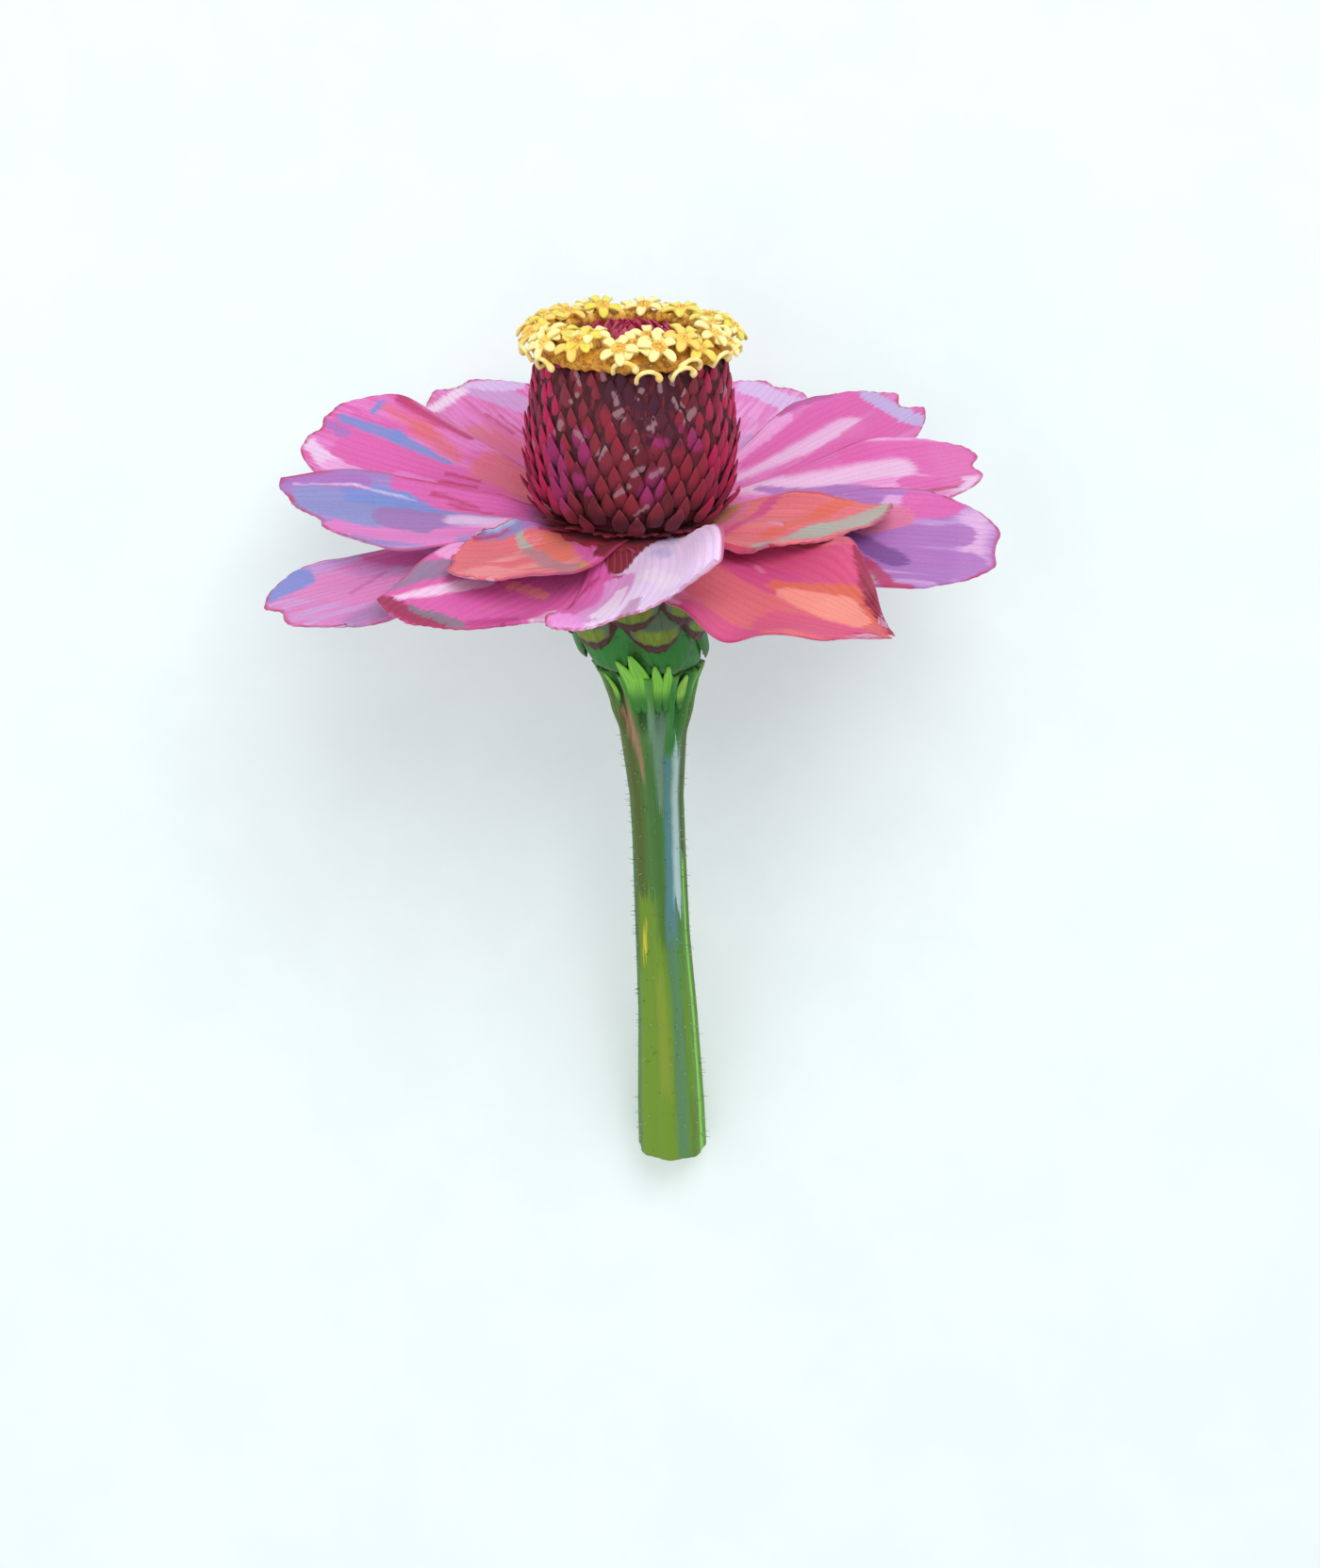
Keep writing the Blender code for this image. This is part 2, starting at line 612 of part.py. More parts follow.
def trim_at_ground(pieces, collection):
    """Flatten what reaches the ground, so that the flower rests on small flat spots."""
    shape = bmesh.new()
    bmesh.ops.create_cube(shape, size=1.0)
    size = Matrix.Diagonal((0.3, 0.3, 0.02, 1.0))
    bmesh.ops.transform(shape, matrix=Matrix.Translation((0, 0, -0.01)) @ size, verts=shape.verts)
    bmesh.ops.triangulate(shape, faces=shape.faces)
    ground = add_mesh("ground_cutter", mesh_from_bmesh("ground_cutter", shape), collection)
    ground.hide_render = True
    ground.display_type = "WIRE"
    for piece in pieces:
        trim = piece.modifiers.new("rest_flat", "BOOLEAN")
        trim.operation = "DIFFERENCE"
        trim.object = ground
        trim.solver = "MANIFOLD"


def finish(piece, material):
    piece.data.materials.clear()
    piece.data.materials.append(material)
    piece.data.shade_smooth()
    piece.data.set_sharp_from_angle(angle=math.radians(40))


def main():
    clear_scene()
    flower = new_collection("zinnia_flower")
    cutters = new_collection("cutters")
    stem = build_stem(flower)
    cup = build_cup(flower)
    bend(stem)
    bend(cup)
    petals = build_petals(flower)
    disc = build_disc(flower)
    florets = build_florets(flower)
    finish(stem, make_material("stem_green", (0.10, 0.24, 0.05), 0.5))
    finish(cup, make_material("bract_olive", (0.13, 0.20, 0.04), 0.6))
    finish(petals, make_material("petal_pink", (0.74, 0.17, 0.45), 0.55))
    finish(disc, make_material("scale_burgundy", (0.20, 0.03, 0.05), 0.65))
    finish(florets, make_material("floret_yellow", (0.86, 0.62, 0.10), 0.6))
    pieces = (stem, cup, petals, disc, florets)
    lay_down(pieces)
    trim_at_ground((stem, petals), cutters)


main()
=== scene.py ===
"""Zinnia flower: finer petals, scales, florets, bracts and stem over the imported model.

The pieces are worked out in the flower's own frame, in millimetres: X to the right, Y away from
the side that is looked at, Z up along the flower's axis, and the origin in the middle of the ring
of petals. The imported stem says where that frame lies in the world, which is in metres.
"""

import math
import random

import bpy
import numpy as np
from mathutils import Matrix, Vector


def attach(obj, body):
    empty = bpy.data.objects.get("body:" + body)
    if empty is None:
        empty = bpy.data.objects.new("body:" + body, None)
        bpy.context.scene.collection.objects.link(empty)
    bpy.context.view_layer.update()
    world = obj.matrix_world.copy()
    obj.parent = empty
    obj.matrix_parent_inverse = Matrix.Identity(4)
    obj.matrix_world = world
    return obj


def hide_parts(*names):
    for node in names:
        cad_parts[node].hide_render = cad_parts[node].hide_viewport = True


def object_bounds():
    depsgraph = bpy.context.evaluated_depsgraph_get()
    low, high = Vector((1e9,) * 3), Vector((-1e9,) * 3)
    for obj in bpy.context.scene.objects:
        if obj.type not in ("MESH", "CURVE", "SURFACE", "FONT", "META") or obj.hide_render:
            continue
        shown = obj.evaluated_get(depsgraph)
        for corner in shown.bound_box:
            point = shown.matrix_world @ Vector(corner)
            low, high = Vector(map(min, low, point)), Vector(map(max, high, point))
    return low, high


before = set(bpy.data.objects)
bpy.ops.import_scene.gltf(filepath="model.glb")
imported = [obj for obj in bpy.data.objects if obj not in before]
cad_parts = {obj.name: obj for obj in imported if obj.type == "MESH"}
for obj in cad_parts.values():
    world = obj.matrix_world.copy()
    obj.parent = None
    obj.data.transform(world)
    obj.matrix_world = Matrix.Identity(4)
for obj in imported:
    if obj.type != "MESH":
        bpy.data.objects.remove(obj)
cad_low, cad_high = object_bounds()

MM = 0.001
GOLDEN_ANGLE = math.radians(137.508)

# A first guess of how far the flower's axis stands above level, its turn about it, and the height
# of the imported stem's flat top
AXIS_RISE = 21.0
AXIS_ROLL = -0.26
RECEPTACLE_TOP = 1.6

# Camera in the flower's frame: where it looks, how far off, and how far above the petals
CAMERA_TARGET = (3.05, 0.0, -30.1)
CAMERA_DISTANCE = 400.0
CAMERA_ELEVATION = 21.1
CAMERA_LENS = 82.7

# Heights, radii and profiles that part.py gives the stem, the cup and the disc
STEM_END = -75.0
CUP_TOP = -1.6
CUP_FOOT = -15.3
STEM_TOP = -15.6
CLEARANCE = 0.3
RECEPTACLE_RADIUS = 5.0
PETAL_ROOT_RADIUS = 6.5
DISC_PROFILE = (
    (3.0, 21.6), (6.0, 20.9), (8.6, 20.3), (10.0, 19.2), (10.7, 17.6), (11.0, 15.0), (11.4, 11.0),
    (11.1, 6.5), (10.3, 3.6), (8.7, 1.9),
)
CUP_PROFILE = ((6.6, CUP_TOP), (8.8, -3.4), (8.6, -6.0), (7.7, -9.5), (6.6, -13.0), (5.9, CUP_FOOT))
STEM_PROFILE = (
    (STEM_END, 3.8), (-69.0, 3.7), (-59.0, 3.3), (-48.0, 2.95), (-37.0, 2.85), (-31.5, 2.9),
    (-26.0, 3.4), (-22.0, 3.8), (-19.8, 4.2), (-17.6, 4.8), (-16.4, 5.35), (STEM_TOP, 5.7),
    (-15.5, RECEPTACLE_RADIUS), (RECEPTACLE_TOP, RECEPTACLE_RADIUS),
)
# How far the cup and the stem lean to the right, by depth below the petals
STEM_BEND = (
    (0, 0), (8, 0.1), (12, 0.7), (16, 1.8), (20, 2.1), (25, 2.3), (35, 2.8), (48, 3.3), (58, 3.9),
    (76, 4.5),
)

PETAL_DEFAULTS = dict(
    swing=0, twist=0, cup=0.2, curl=0, notch=0.03, wave=0.5, waves=1.6, phase=0.2, skew=0,
    taper=0.25, ease=4, claw=0.4, spread=0.9,
)
PETAL_KEYS = ("azimuth", "height", "length", "width", "rise", "arch", "roll", "tip", "point")


def petal_row(*values, **others):
    return {**PETAL_DEFAULTS, **dict(zip(PETAL_KEYS, values)), **others}


# Ray petals, as in part.py: the values of PETAL_KEYS, then what differs from the defaults
PETALS = {
    "right": petal_row(15, 0.0, 34, 18.5, 5.5, 1, 12, 0.24, 2.6, taper=0.12, skew=2),
    "right_back": petal_row(40, -0.5, 36, 17.5, 10, 3, 12, 0.16, 2.4, notch=0.05),
    "back_right": petal_row(64, -0.6, 33, 19, 11, 3, 8, 0.24, 2.6, cup=0.3, phase=0.1),
    "back": petal_row(84, -0.9, 28, 16, 10, 3, 4, 0.24, 2.6, cup=0.3, phase=0.1),
    "back_low": petal_row(103, -0.9, 28, 16, 8, 2, 4, 0.24, 2.6, cup=0.3, phase=0.1),
    "back_left": petal_row(121, 0.0, 35, 19, 9, 3, -8, 0.24, 2.4, swing=2, cup=0.3, phase=0.1),
    "left_back": petal_row(
        153, 0.1, 34.5, 19, 9, 1, -20, 0.16, 3, twist=-4, cup=0.25, phase=0.3, claw=0.3, spread=1),
    "left": petal_row(
        187, 0.3, 28.5, 15.5, 2.6, 2, -15, 0.05, 3, skew=-4.5, curl=50, cup=0.25, wave=0.3,
        phase=0.5, spread=0.8),
    "left_front": petal_row(
        201, -0.9, 34, 16.5, -8, -1, -12, 0.2, 3, skew=-2, swing=-2, cup=0.15, notch=0.02,
        spread=0.8),
    "front_left_high": petal_row(
        234, 0.3, 18, 15, -9, 13, -5, 0.25, 3, swing=-58, curl=20, cup=0.3, wave=0.3, claw=0.6,
        spread=0.5),
    "front_left_low": petal_row(
        226, -0.8, 24, 17.5, -12, 5, -17, 0.2, 1.6, skew=-6, cup=0.15, wave=0.7, phase=-0.13,
        claw=0.55, spread=0.5),
    "front": petal_row(
        281, 0.2, 26, 19.5, 1, -5, 32, 0.2, 3, twist=-12, swing=-34, skew=-3, taper=0.1, wave=0.7,
        phase=0.4, claw=0.6, spread=0.66),
    "front_right": petal_row(
        314, -0.5, 32.5, 28.5, -10, 9.5, 16, 0.1, 2, taper=0.95, ease=2, wave=1.3, waves=2.8,
        phase=-0.28, claw=0.5, spread=0.65),
    "right_short": petal_row(
        341, 0.4, 19, 14.5, 5, -2, 8, 0.15, 2.6, skew=5, taper=0.15, phase=0.4, claw=0.85,
        spread=0.5),
    "right_low": petal_row(
        348, -0.1, 34, 19, -0.6, 0, 20, 0.26, 2.6, twist=4, taper=0.15, phase=0.4),
}
PETAL_ONSET = 0.3
ROOT_CUP = 0.3
PETAL_RIB = 0.35
MIDRIB_RUN = 1.4
MIDRIB_STEPS = 280
# Fine form that only the scene has: blade thickness, vein ridges and the frill of the edges
PETAL_ROWS = 110
PETAL_COLUMNS = 72
PETAL_THICKNESS = 0.42
VEIN_COUNT = 17
VEIN_HEIGHT = 0.05
FRILL_HEIGHT = 0.05
# The ring on which the claws of the petals meet, outer radius and half height, and its chaff
PETAL_RING = (9.9, 1.15)
CHAFF_COUNT = 44

# The scene's disc: its top under the young scales, the radius at which places round it are
# counted in millimetres, its scales' thickness in the middle and at the rim, how many they are,
# and between what heights they stand
DISC_DOME = ((0.4, 20.95), (3.0, 20.8), (6.0, 20.2), (8.4, 19.9))
CONE_UNROLL = 11.2
SCALE_THICKNESS = (0.24, 0.1)
SCALE_COUNT = 330
SCALE_HEIGHTS = (3.0, 19.4)
CROWN_COUNT = 110
CROWN_RADIUS = 7.2
CROWN_TOP = 20.9

# Rows of florets: how many, radius, height and lean outward in degrees
FLORET_ROWS = ((15, 10.3, 20.9, 42), (11, 8.7, 21.7, 14), (12, 9.6, 21.3, 28))
# How far the ring of florets stands higher on the side looked at, and lower on the far side, and
# by how many degrees those on the far side lean back
FLORET_SLANT = 0.45
FAR_LEAN = 34
BUD_COUNT = 26
BUD_HEIGHT = 20.8
FLORET_BED = (
    (7.3, 21.5), (8.8, 21.7), (9.9, 21.1), (10.6, 20.4), (10.8, 19.8), (10.4, 19.4), (9.7, 19.7),
    (8.5, 20.3), (7.2, 20.6), (7.1, 21.0),
)
# Styles: degrees round the axis from the side looked at, the side they hook to, and height
STYLES = (
    (-64, -1, 19.6), (-56, 1, 19.2), (-9, 1, 19.9), (3, 1, 18.9), (22, 1, 19.0), (38, -1, 19.8),
    (48, 1, 19.7), (62, 1, 19.9), (104, 1, 19.8), (150, -1, 19.8), (-150, 1, 19.8), (-104, -1, 19.8),
)
STYLE_RADIUS = 11.7
STYLE_ARCH = (1.2, 1.1)
STYLE_BULGE = 0.5

# Bract rows: how many, where they start, how long and how wide they are
BRACT_ROWS = ((8, -3.5, 5.7, 8.2), (7, -6.4, 5.7, 8.0), (6, -9.4, 5.5, 7.8))
BRACT_ROOT = 1.0
BRACT_FLARE = 1.9
BRACT_ROUNDING = (0.42, 2.2)
# Lime tongues of the stem's ribs over the foot of the cup: degrees from the side looked at,
# length and width, then the radius and height at which they start
TONGUES = (
    (-20, 7.8, 1.9), (-7, 8.8, 2.1), (10, 7.2, 1.3), (22, 7.0, 1.3), (46, 4.6, 1.6), (80, 4.4, 1.8),
    (112, 4.8, 2.0), (146, 4.5, 1.8), (178, 4.9, 2.0), (-148, 4.6, 1.8), (-116, 4.9, 2.0), (-82, 4.4, 1.8),
    (-56, 4.6, 1.7),
)
TONGUE_ROOT = (4.3, -20.2)

STEM_SIDES = 120
STEM_RINGS = 240
STEM_UNROLL = 3.4
HAIR_COUNT = 520

# Lights: name, place, size and power
LIGHTS = (("key", (0.14, 0.34, 0.60), 0.45, 2.3), ("fill", (-0.35, -0.10, 0.45), 0.50, 0.6))
LIGHT_AIM = (0.0, 0.02, 0.02)
FLOOR_REACH = 2.0


# Frame of the flower

def flower_frame():
    """Origin and turn of the flower's frame in the world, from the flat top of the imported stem."""
    points = np.array([vertex.co[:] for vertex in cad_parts["stem"].data.vertices]) / MM
    guess = math.radians(AXIS_RISE)
    axis = np.array([0.0, math.cos(guess), math.sin(guess)])
    for _ in range(3):
        reach = points @ axis
        cap = np.unique(points[reach > reach.max() - 0.25].round(3), axis=0)
        centre = cap.mean(axis=0)
        normal = np.linalg.svd(cap - centre)[2][2]
        axis = normal if normal @ axis > 0 else -normal
    level = np.cross(axis, (0.0, 0.0, 1.0))
    level /= np.linalg.norm(level)
    roll = math.radians(AXIS_ROLL)
    right = level * math.cos(roll) - np.cross(axis, level) * math.sin(roll)
    return centre - axis * RECEPTACLE_TOP, np.column_stack([right, np.cross(axis, right), axis])


ORIGIN, TURN = flower_frame()


# Meshes

def upward(height):
    return np.array([0.0, 0.0, height])


def radial_at(angle):
    return np.array([math.cos(angle), math.sin(angle), 0.0])


def front_angle(points):
    """Angle round the axis, from the side that is looked at."""
    return np.arctan2(points[..., 0], -points[..., 1])


def triples(*parts):
    """Three grids or numbers, as one grid of triples."""
    return np.stack(np.broadcast_arrays(*parts), axis=-1)


def share_grids(rows, columns):
    """Shares of a blade's length, from 0 to 1, and of its half width, from -1 to 1."""
    return np.linspace(0, 1, rows)[:, None], np.linspace(-1, 1, columns)[None, :]


def smooth_step(value):
    value = np.clip(value, 0, 1)
    return value * value * (3 - 2 * value)


class Parts:
    """Points, faces and point values of the closed forms that make one mesh."""

    def __init__(self):
        self.points, self.faces, self.values, self.count = [], [], {}, 0

    def add(self, points, faces, **values):
        """Add a form. A value is one triple, or one for each point of it or of its upper sheet."""
        points = np.reshape(points, (-1, 3))
        self.points.append(points)
        self.faces += [[corner + self.count for corner in face] for face in faces]
        self.count += len(points)
        for key, data in values.items():
            data = np.reshape(data, (-1, 3))
            self.values.setdefault(key, []).append(np.tile(data, (len(points) // len(data), 1)))

    def piece(self, name, node, slot, material):
        """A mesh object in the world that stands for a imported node."""
        world = (ORIGIN + np.vstack(self.points) @ TURN.T) * MM
        world[:, 2] = np.maximum(world[:, 2], cad_low[2])
        mesh = bpy.data.meshes.new(name)
        mesh.from_pydata(world.tolist(), [], self.faces)
        for key, data in self.values.items():
            layer = mesh.attributes.new(key, "FLOAT_VECTOR", "POINT")
            layer.data.foreach_set("vector", np.vstack(data).astype(np.float32).ravel())
        mesh.shade_smooth()
        mesh.materials.append(material)
        piece = bpy.data.objects.new(name, mesh)
        bpy.context.scene.collection.objects.link(piece)
        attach(piece, "root")
        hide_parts(node)


def blade_faces(rows, columns):
    """Faces of a closed blade: an upper sheet, a lower sheet and the strip round both."""
    upper = np.arange(rows * columns).reshape(rows, columns)
    sheet = np.stack([upper[:-1, :-1], upper[1:, :-1], upper[1:, 1:], upper[:-1, 1:]], axis=-1)
    sheet = sheet.reshape(-1, 4)
    rim = np.concatenate([upper[0], upper[1:, -1], upper[-1, -2::-1], upper[-2:0:-1, 0]])
    following = np.roll(rim, -1)
    strip = np.column_stack([rim, following, following + upper.size, rim + upper.size])
    return np.vstack([sheet, sheet[:, ::-1] + upper.size, strip]).tolist()


def closed_blade(points, thickness):
    """Points of the upper and the lower sheet about a middle grid."""
    normals = np.cross(np.gradient(points, axis=1), np.gradient(points, axis=0))
    normals /= np.maximum(np.linalg.norm(normals, axis=-1, keepdims=True), 1e-9)
    offset = normals * thickness[..., None] / 2
    return np.concatenate([(points - offset).reshape(-1, 3), (points + offset).reshape(-1, 3)])


def thin_rimmed(rows, columns, middle, rim):
    """Thickness of a blade that has a thinner rim."""
    thickness = np.full((rows, columns), middle)
    thickness[[0, -1], :] = rim
    thickness[:, [0, -1]] = rim
    return thickness


def ring_faces(rows, steps, closed=False):
    """Faces between rings of points, with two caps or, if closed, back to the first ring."""
    faces = []
    for row in range(rows if closed else rows - 1):
        here, there = row * steps, (row + 1) % rows * steps
        for step in range(steps):
            following = (step + 1) % steps
            faces.append((here + step, there + step, there + following, here + following))
    if not closed:
        last = (rows - 1) * steps
        faces += [tuple(range(steps)), tuple(reversed(range(last, last + steps)))]
    return faces


def flipped(faces):
    """The same faces, seen from their other side."""
    return [(face[0], *face[:0:-1]) for face in faces]


def tube(path, radii, sides):
    """Points and faces of a closed round tube along a path."""
    path = np.asarray(path, dtype=float)
    tangents = np.gradient(path, axis=0)
    tangents /= np.linalg.norm(tangents, axis=1, keepdims=True)
    side = np.cross(tangents[0], (0.3, 0.5, 0.8))
    angles = 2 * math.pi * np.arange(sides)[:, None] / sides
    rings = []
    for centre, tangent, radius in zip(path, tangents, radii):
        side = side - tangent * (side @ tangent)
        side /= np.linalg.norm(side)
        other = np.cross(tangent, side)
        rings.append(centre + radius * (side * np.cos(angles) + other * np.sin(angles)))
    return np.vstack(rings), flipped(ring_faces(len(path), sides))


def turned_skin(profile, steps, closed=False):
    """A skin turned about the axis from radius and height pairs, top to bottom."""
    angles = np.arange(steps) * 2 * math.pi / steps
    radius, height = profile[:, :1], profile[:, 1:]
    points = triples(radius * np.cos(angles), radius * np.sin(angles), height)
    return points, ring_faces(len(profile), steps, closed)


def resample(profile, count):
    """The same profile with points at even distances."""
    profile = np.asarray(profile, dtype=float)
    steps = np.concatenate([[0], np.cumsum(np.linalg.norm(np.diff(profile, axis=0), axis=1))])
    places = np.linspace(0, steps[-1], count)
    return np.column_stack([np.interp(places, steps, profile[:, side]) for side in range(2)])


def radius_at(profile, height):
    """Radius at a height of a profile that runs from top to bottom."""
    radii, heights = np.array(profile[::-1]).T
    return np.interp(height, heights, radii)


def stem_shift(points):
    """The lean of the cup and the stem to the right, added to points in place."""
    points[..., 0] += np.interp(-points[..., 2], *np.array(STEM_BEND).T)
    return points


def frame_at(origin, along, outward):
    """Puts a form at a place: its x sideways, its y outward and its z along."""
    along = along / np.linalg.norm(along)
    side = np.cross(outward, along)
    side /= np.linalg.norm(side)
    directions = np.stack([side, np.cross(along, side), along])
    return lambda local: origin + local @ directions


# Materials

def linear(colour):
    """A colour given as it is seen on a screen, 0 to 255, as scene light."""
    parts = [part / 255 for part in colour]
    return tuple(part / 12.92 if part <= 0.04045 else ((part + 0.055) / 1.055) ** 2.4 for part in parts)


class Nodes:
    """Adds nodes to a tree. Each input is given as a socket to link, or as a value to set."""

    def __init__(self, tree):
        self.tree = tree

    def node(self, kind, inputs=(), **settings):
        node = self.tree.nodes.new(kind)
        for key, value in settings.items():
            setattr(node, key, value)
        for key, given in dict(inputs if isinstance(inputs, dict) else enumerate(inputs)).items():
            if isinstance(given, bpy.types.NodeSocket):
                self.tree.links.new(given, node.inputs[key])
            elif given is not None:
                node.inputs[key].default_value = given
        return node

    def value(self, operation, first, second=None, clamp=False):
        settings = dict(operation=operation, use_clamp=clamp)
        return self.node("ShaderNodeMath", (first, second), **settings).outputs[0]

    def product(self, first, second):
        return self.value("MULTIPLY", first, second)

    def vector(self, operation, *inputs, output=0):
        return self.node("ShaderNodeVectorMath", inputs, operation=operation).outputs[output]

    def ramp(self, value, low, high, out_low=0.0, out_high=1.0):
        inputs = {
            "Value": value, "From Min": low, "From Max": high, "To Min": out_low, "To Max": out_high}
        return self.node("ShaderNodeMapRange", inputs, interpolation_type="SMOOTHSTEP").outputs["Result"]


class Paint(Nodes):
    """Builds one material: a base colour layer by layer, then its bump."""

    def __init__(self, name, roughness=0.55, sheen=0.0, specular=0.4):
        self.material = bpy.data.materials.new(name)
        self.material.use_nodes = True
        super().__init__(self.material.node_tree)
        self.shader = self.tree.nodes["Principled BSDF"]
        self.shader.inputs["Roughness"].default_value = roughness
        self.shader.inputs["Sheen Weight"].default_value = sheen
        self.shader.inputs["Specular IOR Level"].default_value = specular
        self.colour = None

    def attribute(self, name):
        """A named value of the mesh's points, whole and in its three parts."""
        vector = self.node("ShaderNodeAttribute", attribute_name=name).outputs["Vector"]
        return vector, *self.node("ShaderNodeSeparateXYZ", (vector,)).outputs

    def position(self):
        return self.node("ShaderNodeNewGeometry").outputs["Position"]

    def noise(self, vector, stretch, scale, detail=3.0, roughness=0.6, shift=(0.0, 0.0, 0.0), output="Fac"):
        """Cloudy noise over a stretched and shifted vector."""
        vector = self.vector("MULTIPLY_ADD", vector, stretch, shift)
        inputs = {"Vector": vector, "Scale": scale, "Detail": detail, "Roughness": roughness}
        return self.node("ShaderNodeTexNoise", inputs).outputs[output]

    def layer(self, colour, mask=None, blend="MIX"):
        """Put a colour over what is painted so far, where the mask says."""
        if isinstance(colour, tuple):
            colour = (*linear(colour), 1)
        if mask is None:
            self.colour = colour
            return
        inputs = {0: mask, 6: self.colour, 7: colour}
        self.colour = self.node("ShaderNodeMix", inputs, data_type="RGBA", blend_type=blend).outputs[2]

    def brushed(self, flat, stretch, reach, bristle_stretch, bristle_reach):
        """Places moved to and fro, so that strokes have wavering sides and ends with bristle marks."""
        wobble = self.noise(flat, stretch, 1.0, 4, output="Color")
        bristles = self.noise(flat, bristle_stretch, 1.0, 3, 0.7)
        place = flat
        for source, (x, y) in ((wobble, reach), (bristles, bristle_reach)):
            centred = self.vector("ADD", place, (-x / 2, -y / 2, 0.0))
            place = self.vector("MULTIPLY_ADD", source, (x, y, 0.0), centred)
        return place

    def stroke(self, vector, x, y, end_x, end_y, width, end_width, colour, soft=0.3, strength=0.9):
        """A brush stroke between two places, with a half width at each end, in millimetres."""
        inputs = {
            "Place": vector, "Start": (x, y, 0.0), "End": (end_x, end_y, 0.0), "Start width": width,
            "End width": end_width, "Soft": soft, "Strength": strength}
        mask = self.node("ShaderNodeGroup", inputs, node_tree=stroke_group()).outputs["Mask"]
        self.layer(colour, mask)

    def finish(self, height=None, distance=0.1, strength=0.4):
        self.tree.links.new(self.colour, self.shader.inputs["Base Color"])
        if height is not None:
            inputs = {"Strength": strength, "Distance": distance * MM, "Height": height}
            bump = self.node("ShaderNodeBump", inputs)
            self.tree.links.new(bump.outputs["Normal"], self.shader.inputs["Normal"])
        return self.material


def stroke_group():
    """Node group that gives the mask of one stroke with round, feathered ends."""
    name = "brush_stroke"
    if name in bpy.data.node_groups:
        return bpy.data.node_groups[name]
    group = bpy.data.node_groups.new(name, "ShaderNodeTree")
    for label in ("Place", "Start", "End"):
        group.interface.new_socket(label, in_out="INPUT", socket_type="NodeSocketVector")
    for label in ("Start width", "End width", "Soft", "Strength"):
        group.interface.new_socket(label, in_out="INPUT", socket_type="NodeSocketFloat")
    group.interface.new_socket("Mask", in_out="OUTPUT", socket_type="NodeSocketFloat")
    nodes = Nodes(group)
    given = nodes.node("NodeGroupInput").outputs
    run = nodes.vector("SUBTRACT", given["End"], given["Start"])
    reach = nodes.vector("SUBTRACT", given["Place"], given["Start"])
    share = nodes.value(
        "DIVIDE", nodes.vector("DOT_PRODUCT", reach, run, output=1),
        nodes.vector("DOT_PRODUCT", run, run, output=1), clamp=True)
    nearest = nodes.node("ShaderNodeVectorMath", {0: run, 3: share}, operation="SCALE").outputs[0]
    away = nodes.vector("DISTANCE", reach, nearest, output=1)
    growth = nodes.value("SUBTRACT", given["End width"], given["Start width"])
    width = nodes.value("ADD", given["Start width"], nodes.product(growth, share))
    mask = nodes.ramp(
        nodes.value("SUBTRACT", away, width), given["Soft"], nodes.product(given["Soft"], -1.0))
    nodes.node("NodeGroupOutput", (nodes.value("MULTIPLY", mask, given["Strength"], clamp=True),))
    return group


# Colours, as seen in the painted study
PINK = (226, 128, 198)
PALE_PINK = (236, 162, 218)
PALE_LILAC = (236, 204, 238)
ROSE = (214, 106, 170)
HOT_PINK = (220, 98, 174)
MAGENTA = (184, 84, 156)
MAUVE = (204, 156, 210)
LILAC = (196, 152, 210)
BLUE_LILAC = (130, 132, 190)
BLUE = (118, 142, 208)
ICE = (190, 178, 226)
PURPLE = (172, 114, 188)
VIOLET = (122, 78, 148)
# Painted shade on the far side of a cupped petal
GREY_MAUVE_SHADE = (146, 122, 154)
CORAL = (222, 110, 120)
ORANGE = (224, 106, 86)
SALMON = (238, 146, 148)
CRIMSON = (186, 60, 106)
DEEP_RED = (150, 44, 74)
LAVENDER = (218, 190, 234)
# A grey-green painted shade on the coral petals
SAGE_SHADE = (172, 176, 166)
OCHRE = (208, 146, 84)
# A painted highlight: white strokes on the petals
HIGHLIGHT_WHITE = (242, 222, 244)
UNDERSIDE = (214, 160, 194)
BURGUNDY = (134, 42, 54)
BURGUNDY_DARK = (68, 26, 36)
PLUM = (66, 28, 50)
# Painted light on the cone's left and right flanks
CRIMSON_SIDE_LIGHT = (190, 22, 84)
MAGENTA_DARK = (160, 44, 106)
# Painted highlight on the tips of the cone's scales
MAUVE_GREY_HIGHLIGHT = (160, 120, 128)
CROWN_RED = (186, 42, 82)
YELLOW_PALE = (254, 244, 166)
YELLOW_LEMON = (236, 226, 84)
YELLOW = (250, 216, 106)
YELLOW_DEEP = (226, 166, 58)
GOLD_BROWN = (158, 100, 34)
STEM_GREEN = (70, 126, 56)
STEM_BRIGHT = (44, 128, 46)
STEM_OLIVE = (96, 118, 46)
STEM_LOWER = (102, 148, 38)
LIME = (134, 206, 62)
STEM_DARK = (40, 78, 44)
BRACT_OLIVE = (118, 136, 40)
BRACT_GREEN = (88, 112, 84)
BRACT_RIM = (74, 30, 30)
PITH = (196, 206, 140)


# Petals

def petal_heading(petal, reach):
    """Directions forward and level sideways, at a share of the midrib."""
    pitch = np.radians(petal["rise"] + petal["arch"] * reach)
    yaw = np.radians(petal["azimuth"] + petal["swing"] * reach)
    forward = triples(np.cos(pitch) * np.cos(yaw), np.cos(pitch) * np.sin(yaw), np.sin(pitch))
    return forward, triples(-np.sin(yaw), np.cos(yaw), 0.0)


